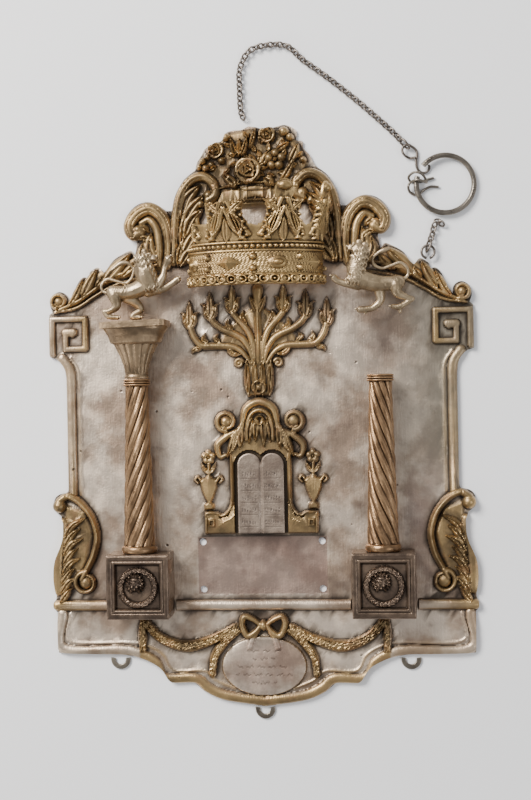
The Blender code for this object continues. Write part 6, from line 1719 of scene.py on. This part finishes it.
# The floor, lights and camera.
def build_stage():
    bpy.ops.mesh.primitive_plane_add(size=4, location=(0, 0, -0.0002))
    floor = bpy.context.object
    floor.name = "floor"
    mat, tree, coords = new_material("paper")
    colour = blend(tree, noise(tree, coords, 3, 0.3, 0.7), (0.93, 0.925, 0.925), (0.90, 0.895, 0.90))
    rough = ramp(tree, noise(tree, coords, 300, 0, 1), 0, 1, 0.9, 0.95)
    grain = noise(tree, coords, 2000, 0, 1)
    floor.data.materials.append(finished(mat, tree, colour, rough, 0.0, [(grain, 0.00001)]))


def add_light(name, place_at, size, power, colour):
    data = bpy.data.lights.new(name, "AREA")
    data.shape = "RECTANGLE"
    data.size, data.size_y = size
    data.energy = power
    data.color = colour
    lamp = bpy.data.objects.new(name, data)
    lamp.location = place_at
    lamp.rotation_euler = (-Vector(place_at)).to_track_quat("-Z", "Y").to_euler()
    bpy.context.scene.collection.objects.link(lamp)


def build_lights():
    add_light("window", (-0.95, 0.95, 1.15), (0.9, 0.7), 62, (1.0, 0.98, 0.95))
    add_light("fill", (1.3, -0.4, 1.5), (0.8, 0.6), 8, (0.95, 0.97, 1.0))
    add_light("low_side", (-1.3, -0.9, 0.7), (0.8, 0.5), 5, (1.0, 0.96, 0.9))
    world = bpy.data.worlds.new("studio")
    world.use_nodes = True
    ground = world.node_tree.nodes["Background"]
    ground.inputs["Color"].default_value = (0.86, 0.88, 0.92, 1)
    ground.inputs["Strength"].default_value = 0.50
    bpy.context.scene.world = world


def build_camera():
    lean = math.radians(VIEW_LEAN_DEG)
    target = Vector((*VIEW_MIDDLE, 0))
    toward = Vector((math.sin(lean), 0, math.cos(lean)))
    up = Vector((math.sin(math.radians(VIEW_ROLL_DEG)), math.cos(math.radians(VIEW_ROLL_DEG)), 0))
    up = (up - toward * up.dot(toward)).normalized()
    right = up.cross(toward)
    data = bpy.data.cameras.new("camera")
    data.lens = LENS_MM
    data.sensor_fit = "VERTICAL"
    data.sensor_height = 36
    data.clip_start = 0.01
    camera = bpy.data.objects.new("camera", data)
    place_at = target + VIEW_DISTANCE * toward
    camera.matrix_world = Matrix.Translation(place_at) @ Matrix((right, up, toward)).transposed().to_4x4()
    bpy.context.scene.collection.objects.link(camera)
    bpy.context.scene.camera = camera


def main():
    build_plate()
    build_tablets()
    build_crown()
    build_lions()
    copper = aged_and_shaded("column_metal", (0.33, 0.205, 0.11), (0.17, 0.10, 0.052), (0.035, 0.02, 0.012), 0.44, 0.56)
    build_column("column_left", -1, copper)
    build_column("column_right", 1, copper)
    tan = aged_and_shaded("capital_metal", (0.34, 0.24, 0.145), (0.16, 0.11, 0.066), (0.035, 0.026, 0.018), 0.44, 0.56)
    build_capital(tan)
    brown = aged_and_shaded("pedestal_metal", (0.17, 0.12, 0.085), (0.085, 0.06, 0.045), (0.015, 0.011, 0.009), 0.44, 0.56)
    build_pedestal("pedestal_left", -1, brown)
    build_pedestal("pedestal_right", 1, brown)
    build_metalwork()
    build_stage()
    build_lights()
    build_camera()


main()
